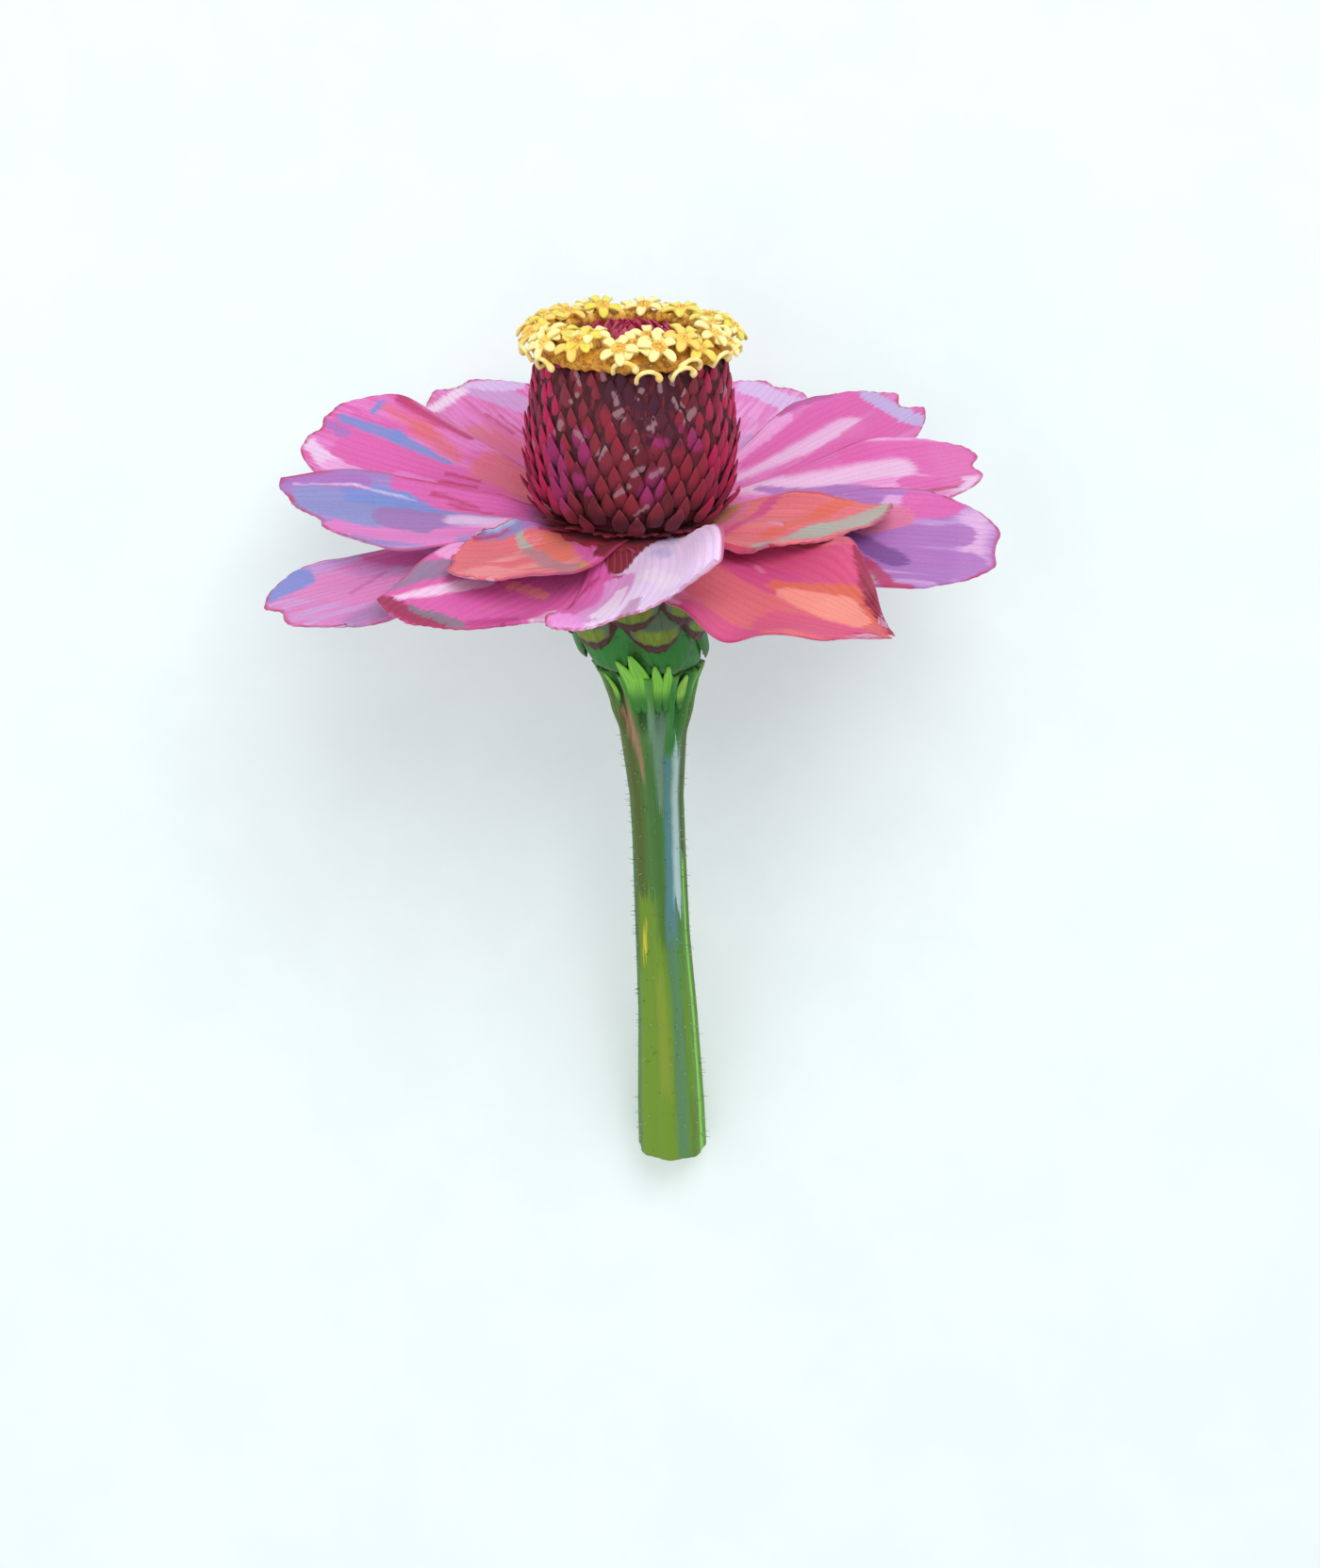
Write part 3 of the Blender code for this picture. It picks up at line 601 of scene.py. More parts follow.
def petal_plan(petal, along, across):
    """Distance along the midrib and half width, in millimetres, at shares of length and width."""
    notches = np.clip(np.cos(1.5 * np.pi * across), 0, 1) ** 2
    rounding = petal["tip"] * np.abs(across) ** petal["point"] + petal["notch"] * notches
    run = petal["length"] * along * (1 - along ** 3 * rounding) + petal["skew"] * across * along ** 2
    widening = petal["claw"] + (1 - petal["claw"]) * smooth_step(along / petal["spread"])
    half_width = petal["width"] / 2 * widening * (1 - petal["taper"] * along ** petal["ease"])
    return run, half_width


def petal_section(petal, across):
    """Sideways and upward place on the bent section, for a half width of 1."""
    marks = np.linspace(-1, 1, 201)
    edge = np.clip((-marks - 0.45) / 0.55, 0, 1) ** 1.5
    slope = petal["cup"] * marks - math.radians(petal["curl"]) * edge
    places = []
    for part in (np.cos(slope), np.sin(slope)):
        place = np.concatenate([[0], np.cumsum((part[1:] + part[:-1]) / 2 * (marks[1] - marks[0]))])
        places.append(np.interp(across, marks, place - place[len(marks) // 2]))
    return places


def petal_points(petal, along, across, seed):
    """Middle surface of one petal, as in part.py, with vein ridges and frilled edges on it."""
    run, half_width = petal_plan(petal, along, across)
    marks = np.linspace(0, MIDRIB_RUN, MIDRIB_STEPS + 1)
    headings, _ = petal_heading(petal, (marks[1:] + marks[:-1]) / 2)
    length = petal["length"]
    root = PETAL_ROOT_RADIUS * radial_at(math.radians(petal["azimuth"])) + upward(petal["height"])
    steps = np.cumsum(headings * length * MIDRIB_RUN / MIDRIB_STEPS, axis=0)
    midrib = np.vstack([root, root + steps])
    reach = run / length
    middle = triples(*(np.interp(reach, marks, midrib[:, axis]) for axis in range(3)))
    forward, level = petal_heading(petal, reach)
    upright = np.cross(forward, level)
    onset = smooth_step(reach / PETAL_ONSET)
    roll = np.radians((petal["roll"] + petal["twist"] * reach) * onset)[..., None]
    sideways = level * np.cos(roll) + upright * np.sin(roll)
    lifted = upright * np.cos(roll) - level * np.sin(roll)
    offset, lift = petal_section(petal, across)
    turns = along * petal["waves"] + petal["phase"]
    ruffle = np.sin(2 * np.pi * turns) * across * np.abs(across) * half_width / (petal["width"] / 2)
    ribs = np.cos(2.5 * np.pi * across) * np.clip(2 * along, 0, 1) * np.clip(1.15 - along, 0, 1)
    wander = 0.6 * np.sin(3.1 * along + seed)
    veins = np.cos(np.pi * (VEIN_COUNT * across + wander)) * np.clip(3 * along, 0, 1)
    frill = np.sin(2 * np.pi * (along * 5 + 0.5 * np.sin(5 * along + seed))) * np.sign(across)
    height = lift * half_width * (ROOT_CUP + (1 - ROOT_CUP) * onset)
    height = height + petal["wave"] * ruffle + PETAL_RIB * ribs
    height = height + VEIN_HEIGHT * veins + FRILL_HEIGHT * frill * np.abs(across) ** 6
    return middle + sideways * (offset * half_width)[..., None] + lifted * height[..., None]


def build_petal(name, seed):
    petal = PETALS[name]
    along, _ = share_grids(PETAL_ROWS, 1)
    across = np.sin(np.linspace(-0.43, 0.43, PETAL_COLUMNS) * np.pi)[None, :] / math.sin(0.43 * np.pi)
    nicks = 0.005 * np.sin(9 * across + seed) + 0.003 * np.sin(17 * across + 2 * seed)
    along = along * (1 - (0.008 + nicks) * along ** 8)
    run, half_width = petal_plan(petal, along, across)
    end_gap = (along[-1] - along) * petal["length"] * 0.7
    gap = np.minimum((1 - np.abs(across)) * half_width, end_gap)
    thickness = PETAL_THICKNESS * np.sqrt(np.clip(gap / 0.8, 0.05, 1))
    grid = closed_blade(petal_points(petal, along, across, seed), thickness)
    # The third share is 0 on the upper sheet and 1 on the lower one
    shares = triples(along, across, 0.0).reshape(-1, 3)
    parts = Parts()
    parts.add(
        grid, blade_faces(PETAL_ROWS, PETAL_COLUMNS), place=triples(run, across * half_width, gap),
        shares=np.vstack([shares, shares + (0, 0, 1)]))
    parts.piece(f"petal_{name}", "ray_petals", "petal", petal_paint(name, petal, seed))


# The paint of each petal: its ground colours, its base, its root and veins where they differ, and
# its strokes, each from one place to another (share of length and share of half width of both),
# with half widths in millimetres, colour, and softness and strength where they differ
PETAL_PAINT = {
    "right": dict(ground=(PINK, PALE_PINK), base=HOT_PINK, strokes=(
        (0.92, 0.5, 0.95, -0.5, 2.2, 2.2, PALE_LILAC, 1.0, 0.8),
        (0.38, 0.8, 0.62, 0.78, 0.8, 2.2, HOT_PINK),
        (0.62, 0.75, 0.93, 0.25, 2.2, 4.2, HOT_PINK),
        (0.74, -0.1, 0.88, -0.3, 1.4, 1.4, HOT_PINK),
        (0.20, 0.85, 0.72, 0.3, 0.9, 2.0, (236, 196, 230), 0.6, 0.85),
        (0.26, 0.7, 0.5, -0.02, 0.5, 1.4, PURPLE),
        (0.5, -0.02, 0.74, -0.38, 1.5, 0.5, PURPLE),
        (0.3, -0.3, 0.6, -0.7, 1.6, 1.6, LILAC),
        (0.77, -0.38, 0.91, -0.47, 0.5, 0.4, CRIMSON),
    )),
    "right_back": dict(ground=(PINK, ROSE), base=ROSE, strokes=(
        (0.15, 0.9, 0.6, 0.9, 1.4, 1.6, PALE_PINK),
        (0.35, 0.55, 0.9, 0.55, 0.8, 3.0, HOT_PINK),
        (0.28, 0.3, 0.75, 0.1, 0.7, 1.9, (236, 190, 228), 0.6, 0.85),
        (0.4, -0.35, 0.92, -0.3, 0.8, 3.4, HOT_PINK),
        (0.25, -0.9, 0.8, -0.95, 0.7, 0.9, PALE_LILAC, 0.6, 0.8),
        (0.94, 0.55, 0.97, -0.7, 1.1, 1.3, ICE),
        (0.62, 0.97, 0.9, 0.95, 0.5, 0.7, MAGENTA),
    )),
    "back_right": dict(ground=(PALE_PINK, PINK), base=ROSE, strokes=(
        (0.5, -0.1, 0.62, -0.45, 1.5, 1.5, MAUVE),
        (0.6, -0.8, 0.85, -0.6, 1.4, 2.2, PALE_LILAC),
        # Painted sheen: a lavender highlight along the top of the petal
        (0.92, 0.3, 0.9, -0.6, 1.6, 1.6, LAVENDER),
    )),
    "back": dict(ground=(PINK, LILAC), base=ROSE, strokes=(
        (0.45, 0.3, 0.9, 0.2, 0.8, 2.6, PALE_PINK),
        (0.92, 0.6, 0.95, -0.6, 1.2, 1.2, LAVENDER),
    )),
    "back_low": dict(ground=(PINK, LILAC), base=ROSE, strokes=(
        (0.45, -0.3, 0.9, -0.2, 0.8, 2.6, PALE_PINK),
        (0.92, 0.6, 0.95, -0.6, 1.2, 1.2, LAVENDER),
    )),
    "back_left": dict(ground=(PINK, ROSE), base=HOT_PINK, strokes=(
        (0.3, -0.2, 0.55, 0.3, 2.4, 2.6, HOT_PINK),
        (0.66, 0.35, 0.46, 0.15, 1.8, 1.5, CORAL, 0.8, 0.6),
        (0.7, -0.6, 0.9, -0.3, 1.2, 1.8, MAUVE),
        (0.97, -0.2, 0.95, -0.8, 0.8, 1.2, LAVENDER),
        (0.93, 0.75, 0.95, 0.0, 0.7, 1.0, HIGHLIGHT_WHITE, 0.5, 0.8),
        (0.75, 0.02, 0.58, -0.02, 0.2, 0.25, CRIMSON),
        (0.72, -0.12, 0.56, -0.15, 0.15, 0.2, CRIMSON),
    )),
    "left_back": dict(ground=(PINK, HOT_PINK), base=CORAL, strokes=(
        (0.3, 0.3, 0.8, 0.2, 2.0, 3.0, HOT_PINK),
        (0.36, -0.5, 0.2, -0.3, 2.4, 1.5, CORAL, 0.9, 0.75),
        (0.6, 0.5, 0.4, 0.6, 1.4, 1.2, PINK),
        (0.93, -0.33, 0.72, -0.33, 0.6, 1.0, BLUE),
        (0.72, -0.33, 0.5, -0.2, 1.0, 0.4, BLUE),
        (0.84, -0.72, 0.66, -0.65, 0.3, 1.0, CORAL, 0.8, 0.8),
        (0.66, -0.65, 0.49, -0.45, 1.0, 0.7, CORAL, 0.8, 0.8),
        (0.97, -0.15, 0.9, -0.05, 0.5, 0.8, PURPLE),
        (0.88, -0.78, 0.86, -0.62, 0.4, 0.5, BLUE),
        (0.97, 0.35, 0.85, 0.62, 0.8, 1.3, PALE_LILAC),
        (0.85, 0.62, 0.7, 0.62, 1.2, 0.5, PALE_PINK),
        (0.85, -0.93, 0.5, -0.93, 0.6, 0.5, CRIMSON),
        (0.48, 0.1, 0.36, 0.02, 0.25, 0.2, CRIMSON),
        (0.48, 0.3, 0.36, 0.2, 0.25, 0.2, CRIMSON),
        (0.45, 0.48, 0.36, 0.38, 0.2, 0.2, CRIMSON),
    )),
    "left": dict(ground=((158, 132, 196), (184, 140, 202)), base=HOT_PINK, strokes=(
        (0.94, 0.35, 0.55, 0.75, 1.4, 2.0, PINK),
        (0.9, -0.5, 0.74, -0.2, 2.6, 3.2, (138, 146, 202)),
        (0.68, -0.05, 0.48, 0.2, 2.2, 2.2, (158, 118, 180)),
        (0.5, 0.5, 0.25, 0.5, 1.6, 1.6, PINK),
        (0.45, 0.0, 0.25, 0.1, 1.0, 0.8, PALE_LILAC, 0.6, 0.7),
        (0.56, -0.85, 0.2, -0.5, 2.4, 1.6, HOT_PINK),
        (0.76, -0.62, 0.6, -0.5, 1.5, 1.3, BLUE),
        (0.6, -0.5, 0.44, -0.2, 1.3, 0.3, BLUE),
        (0.98, -0.95, 0.72, -0.8, 0.8, 0.9, PURPLE),
        (0.95, -0.82, 0.75, -0.74, 0.02, 0.08, HIGHLIGHT_WHITE, 0.25, 0.8),
        (0.75, -0.74, 0.56, -0.56, 0.08, 0.02, HIGHLIGHT_WHITE, 0.25, 0.8),
        (0.5, -0.75, 0.34, -0.55, 0.2, 0.2, CRIMSON),
        (0.44, -0.55, 0.3, -0.35, 0.2, 0.15, CRIMSON),
    )),
    "left_front": dict(ground=((216, 126, 188), MAUVE), base=ROSE, strokes=(
        (0.82, -0.4, 0.62, 0.2, 2.6, 2.6, (218, 134, 192)),
        (0.9, -0.85, 0.7, -0.9, 1.2, 1.0, LILAC),
        (0.62, -0.85, 0.48, -0.5, 1.2, 1.2, ROSE),
        # Painted shade: grey-violet over the lower side of the petal
        (0.86, 0.75, 0.62, 0.6, 1.2, 2.8, (164, 120, 170), 0.8, 0.8),
        (0.75, 0.0, 0.6, -0.4, 0.25, 0.25, (204, 100, 170)),
        (0.98, -0.55, 0.87, -0.72, 1.0, 1.4, BLUE),
    )),
    "front_left_high": dict(ground=(CORAL, SALMON), base=CORAL, root=HOT_PINK, strokes=(
        (0.95, -0.2, 0.6, -0.6, 3.0, 2.2, CORAL),
        (0.2, -0.4, 0.34, 0.1, 2.0, 1.8, (228, 120, 102)),
        (0.78, 0.45, 0.58, 0.65, 2.0, 1.4, SALMON),
        # Painted shade: a grey-green band across the petal
        (0.42, -0.95, 0.46, -0.25, 0.5, 0.8, SAGE_SHADE),
        (0.46, -0.25, 0.42, 1.0, 0.8, 1.3, (184, 132, 142)),
        (0.34, 1.0, 0.33, 0.8, 0.8, 0.6, OCHRE),
        (0.24, 0.95, 0.06, -0.1, 1.6, 2.2, HOT_PINK),
        (0.97, -0.95, 0.3, -0.95, 0.9, 0.9, BLUE_LILAC),
        (0.8, -0.98, 0.35, -1.0, 0.4, 0.3, (160, 184, 224)),
        (0.92, -0.80, 0.5, -0.80, 0.3, 0.15, CRIMSON),
        (0.3, -0.95, 0.04, -0.9, 1.0, 1.3, PURPLE),
        (0.24, -0.8, 0.04, -0.7, 0.3, 0.5, CRIMSON),
        # Painted shade: burgundy at the root corner, for the dark gap under the cone
        (0.0, 0.45, 0.12, 1.0, 2.2, 2.1, BURGUNDY, 0.2, 1.0),
    )),
    "front_left_low": dict(ground=(HOT_PINK, ROSE), base=ROSE, root=BURGUNDY, strokes=(
        (0.5, -0.9, 0.3, -0.9, 2.0, 2.0, PALE_PINK),
        # Painted shade: a grey-mauve band on the far side of the cupped petal
        (0.84, -0.97, 0.68, -0.85, 0.4, 1.2, GREY_MAUVE_SHADE),
        (0.68, -0.85, 0.5, -0.55, 1.2, 0.8, GREY_MAUVE_SHADE),
        # Painted highlight: a white-pink band along the petal
        (0.88, -0.78, 0.53, -0.28, 0.4, 1.1, (244, 208, 236)),
        (0.5, 0.0, 0.44, 0.35, 0.7, 0.8, SALMON),
        (0.97, -0.9, 0.99, 0.1, 1.4, 1.1, DEEP_RED),
        (0.89, -0.5, 0.94, 0.2, 0.5, 0.9, (128, 118, 134)),
        (0.92, 0.35, 0.88, 0.65, 1.0, 1.2, (194, 72, 140)),
        (0.62, 0.85, 0.82, 0.9, 1.5, 1.2, (226, 184, 208)),
    )),
    "front": dict(
        ground=((236, 212, 248), (242, 210, 244)), base=(236, 212, 248), root=(230, 200, 240),
        vein=PINK, strokes=(
        (0.42, -0.55, 0.78, -0.6, 3.2, 4.4, (222, 144, 206)),
        (0.42, -0.85, 0.85, -0.95, 2.2, 2.8, HOT_PINK),
        (0.86, -0.8, 0.97, -0.55, 1.4, 1.4, (238, 150, 222)),
        (0.52, -0.32, 0.84, -0.3, 0.7, 1.6, HIGHLIGHT_WHITE),
        (0.5, 0.02, 0.76, 0.42, 1.2, 1.2, HIGHLIGHT_WHITE),
        (0.25, 0.15, 0.35, 0.25, 0.8, 0.8, ICE, 0.8, 0.7),
        (0.82, 0.05, 0.98, 0.1, 0.7, 0.9, (196, 150, 188)),
        # Painted shadow: a crimson band near the root of the pink side
        (0.26, -0.95, 0.32, -0.45, 0.7, 0.4, (188, 64, 120)),
        (0.0, -1.0, 0.3, -0.95, 3.0, 2.8, HOT_PINK, 0.4, 1.0),
        (0.3, -0.78, 0.42, -0.9, 0.35, 0.3, (188, 64, 120)),
        (0.42, -1.0, 0.95, -1.0, 0.3, 0.3, CRIMSON),
        # Painted shade: burgundy at the root, for the dark gap under the cone
        (0.0, -0.34, 0.25, -0.5, 4.2, 1.0, BURGUNDY, 0.3, 1.0),
    )),
    "front_right": dict(ground=(CORAL, (216, 100, 124)), base=PALE_PINK, root=LAVENDER, strokes=(
        (0.15, -0.3, 0.55, -0.5, 3.0, 3.6, CORAL),
        (0.6, -0.5, 0.88, -0.5, 2.2, 1.4, (218, 92, 132)),
        (0.24, 0.35, 0.6, 0.62, 2.4, 3.6, (216, 82, 132)),
        (0.22, 0.1, 0.46, 0.12, 1.2, 2.4, (212, 78, 138)),
        (0.33, 0.2, 0.37, 0.16, 0.25, 0.35, (228, 132, 158)),
        (0.46, 0.05, 0.68, 0.3, 0.9, 2.7, ORANGE),
        (0.68, 0.3, 0.88, 0.25, 2.5, 0.9, ORANGE),
        (0.52, 0.0, 0.72, 0.14, 0.9, 2.4, (246, 150, 138)),
        (0.72, 0.14, 0.86, 0.05, 2.4, 1.0, (246, 150, 138)),
        (0.6, 0.98, 0.85, 0.9, 0.7, 1.1, DEEP_RED),
        (0.85, 0.9, 0.99, 0.5, 1.1, 0.5, DEEP_RED),
        (0.32, -0.97, 0.62, -0.97, 1.3, 1.6, (214, 88, 140)),
        (0.1, -0.92, 0.32, -0.97, 0.6, 0.5, (238, 180, 206)),
        # Painted shade: burgundy at the root, for the dark gap under the cone
        (0.0, -1.0, 0.08, -0.9, 3.4, 2.4, BURGUNDY, 0.2, 1.0),
    )),
    "right_short": dict(ground=(CORAL, (232, 124, 132)), base=CORAL, root=DEEP_RED, strokes=(
        # Painted shade: grey-green across the middle of the petal
        (0.6, -0.95, 0.82, -0.1, 1.0, 1.5, SAGE_SHADE),
        (0.82, -0.1, 1.02, 0.9, 1.5, 1.6, SAGE_SHADE),
        (0.52, -0.3, 0.74, 0.9, 0.7, 1.0, ORANGE),
        (0.4, 1.0, 0.72, 1.0, 0.5, 0.5, (212, 74, 84)),
        (0.22, -0.6, 0.4, 0.9, 0.5, 0.7, (210, 80, 140)),
        (0.2, -0.3, 0.27, 1.0, 0.15, 0.15, (220, 120, 196)),
        (0.14, -0.1, 0.2, 1.0, 0.4, 0.5, OCHRE),
        (0.3, -0.95, 0.6, -0.95, 0.4, 0.5, (196, 62, 92)),
    )),
    "right_low": dict(ground=(PURPLE, LILAC), base=ROSE, strokes=(
        (0.92, 0.5, 0.97, -0.6, 1.6, 1.6, (226, 182, 226), 1.0, 0.8),
        (0.55, -0.3, 0.9, -0.4, 2.2, 2.6, PURPLE),
        (0.6, 0.1, 0.85, 0.2, 1.6, 2.0, PURPLE),
        (0.5, 0.1, 0.72, 0.85, 0.7, 1.6, (224, 168, 222)),
        (0.5, 0.92, 0.76, 0.92, 0.5, 0.8, PURPLE),
        (0.74, 0.72, 0.86, 0.72, 2.0, 1.6, HOT_PINK),
        (0.54, 0.15, 0.66, 0.5, 0.8, 1.6, (222, 120, 156)),
        (0.47, 0.12, 0.68, -0.36, 1.0, 1.2, VIOLET),
        # Painted shade: grey-brown below the crimson fold line
        (0.44, -0.45, 0.6, -0.85, 1.2, 2.0, (180, 152, 158)),
        (0.46, -0.12, 0.6, -0.52, 0.5, 0.7, CRIMSON),
        (0.6, -0.52, 0.72, -0.92, 0.8, 0.8, CRIMSON),
        (0.74, -0.97, 0.88, -0.97, 0.6, 0.4, CRIMSON),
    )),
}


def petal_paint(name, petal, seed):
    """Material of one petal, painted in millimetres along and across it."""
    look = PETAL_PAINT[name]
    paint = Paint(f"petal_{name}_paint", roughness=0.55, sheen=0.03, specular=0.25)
    place, _, _, gap = paint.attribute("place")
    shares, share, _, side = paint.attribute("shares")
    flat = paint.vector("MULTIPLY", place, (1.0, 1.0, 0.0))
    streaks = paint.noise(flat, (0.12, 0.9, 1.0), 1.0, 4, shift=(0, 0, seed))
    clouds = paint.noise(flat, (0.5, 0.5, 1.0), 1.0, 4, shift=(seed, 0, 0))
    grain = paint.noise(flat, (1.6, 3.2, 1.0), 1.6, 4, 0.75, shift=(0, seed, 0))
    brushed = paint.brushed(flat, (0.5, 0.5, 1.0), (1.0, 0.8), (0.1, 2.6, 1.0), (2.2, 0.0))
    first, second = look["ground"]
    paint.layer(first)
    paint.layer(second, paint.ramp(streaks, 0.40, 0.62))
    base = paint.product(paint.ramp(share, 0.42, 0.08), paint.ramp(clouds, 0.25, 0.6, 0.5, 1.0))
    paint.layer(look["base"], base)
    # Painted shade: each petal's root, by the cone, goes dark red unless the petal gives its own root
    # colour
    paint.layer(look.get("root", DEEP_RED), paint.ramp(share, 0.18, 0.04, 0.0, 0.9))
    for x, y, end_x, end_y, *brush in look["strokes"]:
        places = []
        for along, across in ((x, y), (end_x, end_y)):
            run, half_width = petal_plan(petal, np.float64(along), np.float64(across))
            places += [float(run), float(half_width * across)]
        paint.stroke(brushed, *places, *brush)
    # Veins, which run along lines of one share of the width
    comb = paint.node("ShaderNodeTexWave", {
        "Vector": paint.vector("MULTIPLY_ADD", shares, (1.5, 3.0, 0.0), (0.0, 0.0, seed)),
        "Scale": 1.0, "Distortion": 1.6, "Detail": 2.0, "Detail Scale": 1.2,
    }, wave_type="BANDS", bands_direction="Y").outputs["Fac"]
    paint.layer(look.get("vein", CRIMSON), paint.ramp(comb, 0.80, 1.0, 0.0, 0.16))
    rim = paint.product(paint.ramp(gap, 0.5, 0.12), paint.ramp(streaks, 0.35, 0.6, 0.2, 0.85))
    paint.layer(CRIMSON, rim)
    paint.layer(UNDERSIDE, paint.ramp(side, 0.3, 0.9, 0.0, 0.75))
    shade = paint.ramp(grain, 0.3, 0.7, 0.93, 1.05)
    paint.layer(paint.node("ShaderNodeCombineXYZ", (shade, shade, shade)).outputs[0], 1.0, "MULTIPLY")
    return paint.finish(paint.value("ADD", paint.product(comb, -0.6), grain), 0.10, 0.4)


def build_petal_ring():
    """The ring where the claws of the petals meet, with chaff that hangs over them."""
    outer, half_height = PETAL_RING
    profile = resample((
        (6.0, 0.5), (outer - 0.9, 0.5), (outer - 0.2, 0.0), (outer - 0.9, -half_height),
        (6.0, -half_height)), 36)
    points, faces = turned_skin(profile, 120)
    angle = front_angle(points)
    points[..., :2] *= (1 + 0.012 * np.sin(31 * angle + 5 * points[..., 2]))[..., None]
    parts = Parts()
    place = triples(angle * CONE_UNROLL, points[..., 2], 0.0)
    parts.add(points, faces, place=place, shares=(0.6, 0.0, 0.5))
    draw = random.Random(71)
    for index in range(CHAFF_COUNT):
        radial = radial_at(2 * math.pi * (index + draw.uniform(-0.3, 0.3)) / CHAFF_COUNT)
        origin = radial * draw.uniform(6.8, 7.3) + upward(draw.uniform(0.7, 1.1))
        along = radial + upward(draw.uniform(0.05, 0.4))
        shape = (2.0, draw.uniform(2.2, 2.9), 9, 7, 0.15, -0.3)
        add_scale(parts, shape, origin, along, upward(1.0), draw.random())
    parts.piece("petal_ring", "ray_petals", "petal", disc_scale_paint("petal_ring_paint"))


# Disc: the barrel of chaffy scales and its crown

def build_disc():
    profile = resample((*DISC_DOME, *DISC_PROFILE[3:], (7.4, 1.9)), 60)
    profile[:, 0] = np.maximum(profile[:, 0] - 0.35, 0.3)
    points, faces = turned_skin(profile, 96)
    height, angle = points[..., 2], front_angle(points)
    bumps = 0.12 * np.sin(11 * angle + 2.3 * height) * np.sin(1.9 * height - 5 * angle)
    points[..., :2] *= (1 + bumps / 12)[..., None]
    parts = Parts()
    parts.add(points, faces, place=triples(angle * CONE_UNROLL, height, 0.0))
    parts.piece("disc_body", "disc_cone", "scale", disc_body_paint())
    build_scales()
    build_crown()


def add_scale(parts, shape, origin, along, outward, chance):
    """One pointed, hollowed scale, with its unrolled place round the axis and its shares."""
    width, length, rows, columns, bow, hook = shape
    share, middle = share_grids(rows, columns)
    spread = np.sin(np.pi * (0.18 + 0.62 * share)) ** 0.8 * (1 - share ** 1.6) ** 0.75 + 0.05
    hollow = 0.175 * width * (middle * spread) ** 2
    bend = bow * np.sin(0.6 * np.pi * share) + hook * share ** 3 - hollow
    local = triples(middle * spread * width / 2, bend, length * share)
    thickness = thin_rimmed(rows, columns, *SCALE_THICKNESS)
    points = frame_at(origin, along, outward)(closed_blade(local, thickness))
    centre = front_angle(origin)
    turn = centre + (front_angle(points) - centre + math.pi) % (2 * math.pi) - math.pi
    parts.add(
        points, blade_faces(rows, columns), shares=triples(share, middle, chance),
        place=triples(turn * CONE_UNROLL, points[:, 2], 0.0))


def build_scales():
    parts = Parts()
    draw = random.Random(21)
    low, high = SCALE_HEIGHTS
    for index in range(SCALE_COUNT):
        height = low + (high - low) * (index + 0.5) / SCALE_COUNT
        radial = radial_at(index * GOLDEN_ANGLE + draw.uniform(-0.03, 0.03))
        below, radius, above = radius_at(DISC_PROFILE, (height - 1, height, height + 1))
        meridian = radial * max((above - below) / 2, -0.12) + upward(1.0)
        along = meridian / np.linalg.norm(meridian) + radial * draw.uniform(0.0, 0.09)
        size = draw.uniform(0.85, 1.1)
        # The lowest scales tuck in their tips
        hook = draw.uniform(-0.08, 0.12) - 0.25 * max(1 - height / 9, 0)
        origin = radial * (radius - 0.5) + upward(height - 1.6)
        shape = (2.1 * size, 3.5 * size, 9, 7, 0.3, hook)
        add_scale(parts, shape, origin, along, radial, draw.random())
    parts.piece("disc_scales", "disc_cone", "scale", disc_scale_paint("disc_scale_paint"))


def build_crown():
    """Young crimson scales in the middle of the disc's top."""
    parts = Parts()
    draw = random.Random(31)
    for index in range(CROWN_COUNT):
        radius = CROWN_RADIUS * math.sqrt((index + 0.5) / CROWN_COUNT)
        radial = radial_at(index * GOLDEN_ANGLE)
        origin = radial * radius + upward(CROWN_TOP - 0.022 * radius * radius)
        along = upward(1.0) + radial * draw.uniform(-0.75, -0.2)
        size = draw.uniform(0.85, 1.15)
        shape = (1.3 * size, 1.35 * size, 8, 5, 0.2, -0.2)
        add_scale(parts, shape, origin, along, radial, draw.random())
    parts.piece("disc_crown", "disc_cone", "scale", crown_paint())


def disc_body_paint():
    paint = Paint("disc_body_paint", roughness=0.7, specular=0.25)
    place, _, height, _ = paint.attribute("place")
    spots = paint.noise(place, (1.1, 0.3, 1.0), 1.4, 4)
    paint.layer(BURGUNDY_DARK)
    paint.layer(BURGUNDY, paint.ramp(spots, 0.46, 0.75))
    paint.layer(CROWN_RED, paint.ramp(height, 19.6, 20.3))
    return paint.finish(spots, 0.3, 0.6)


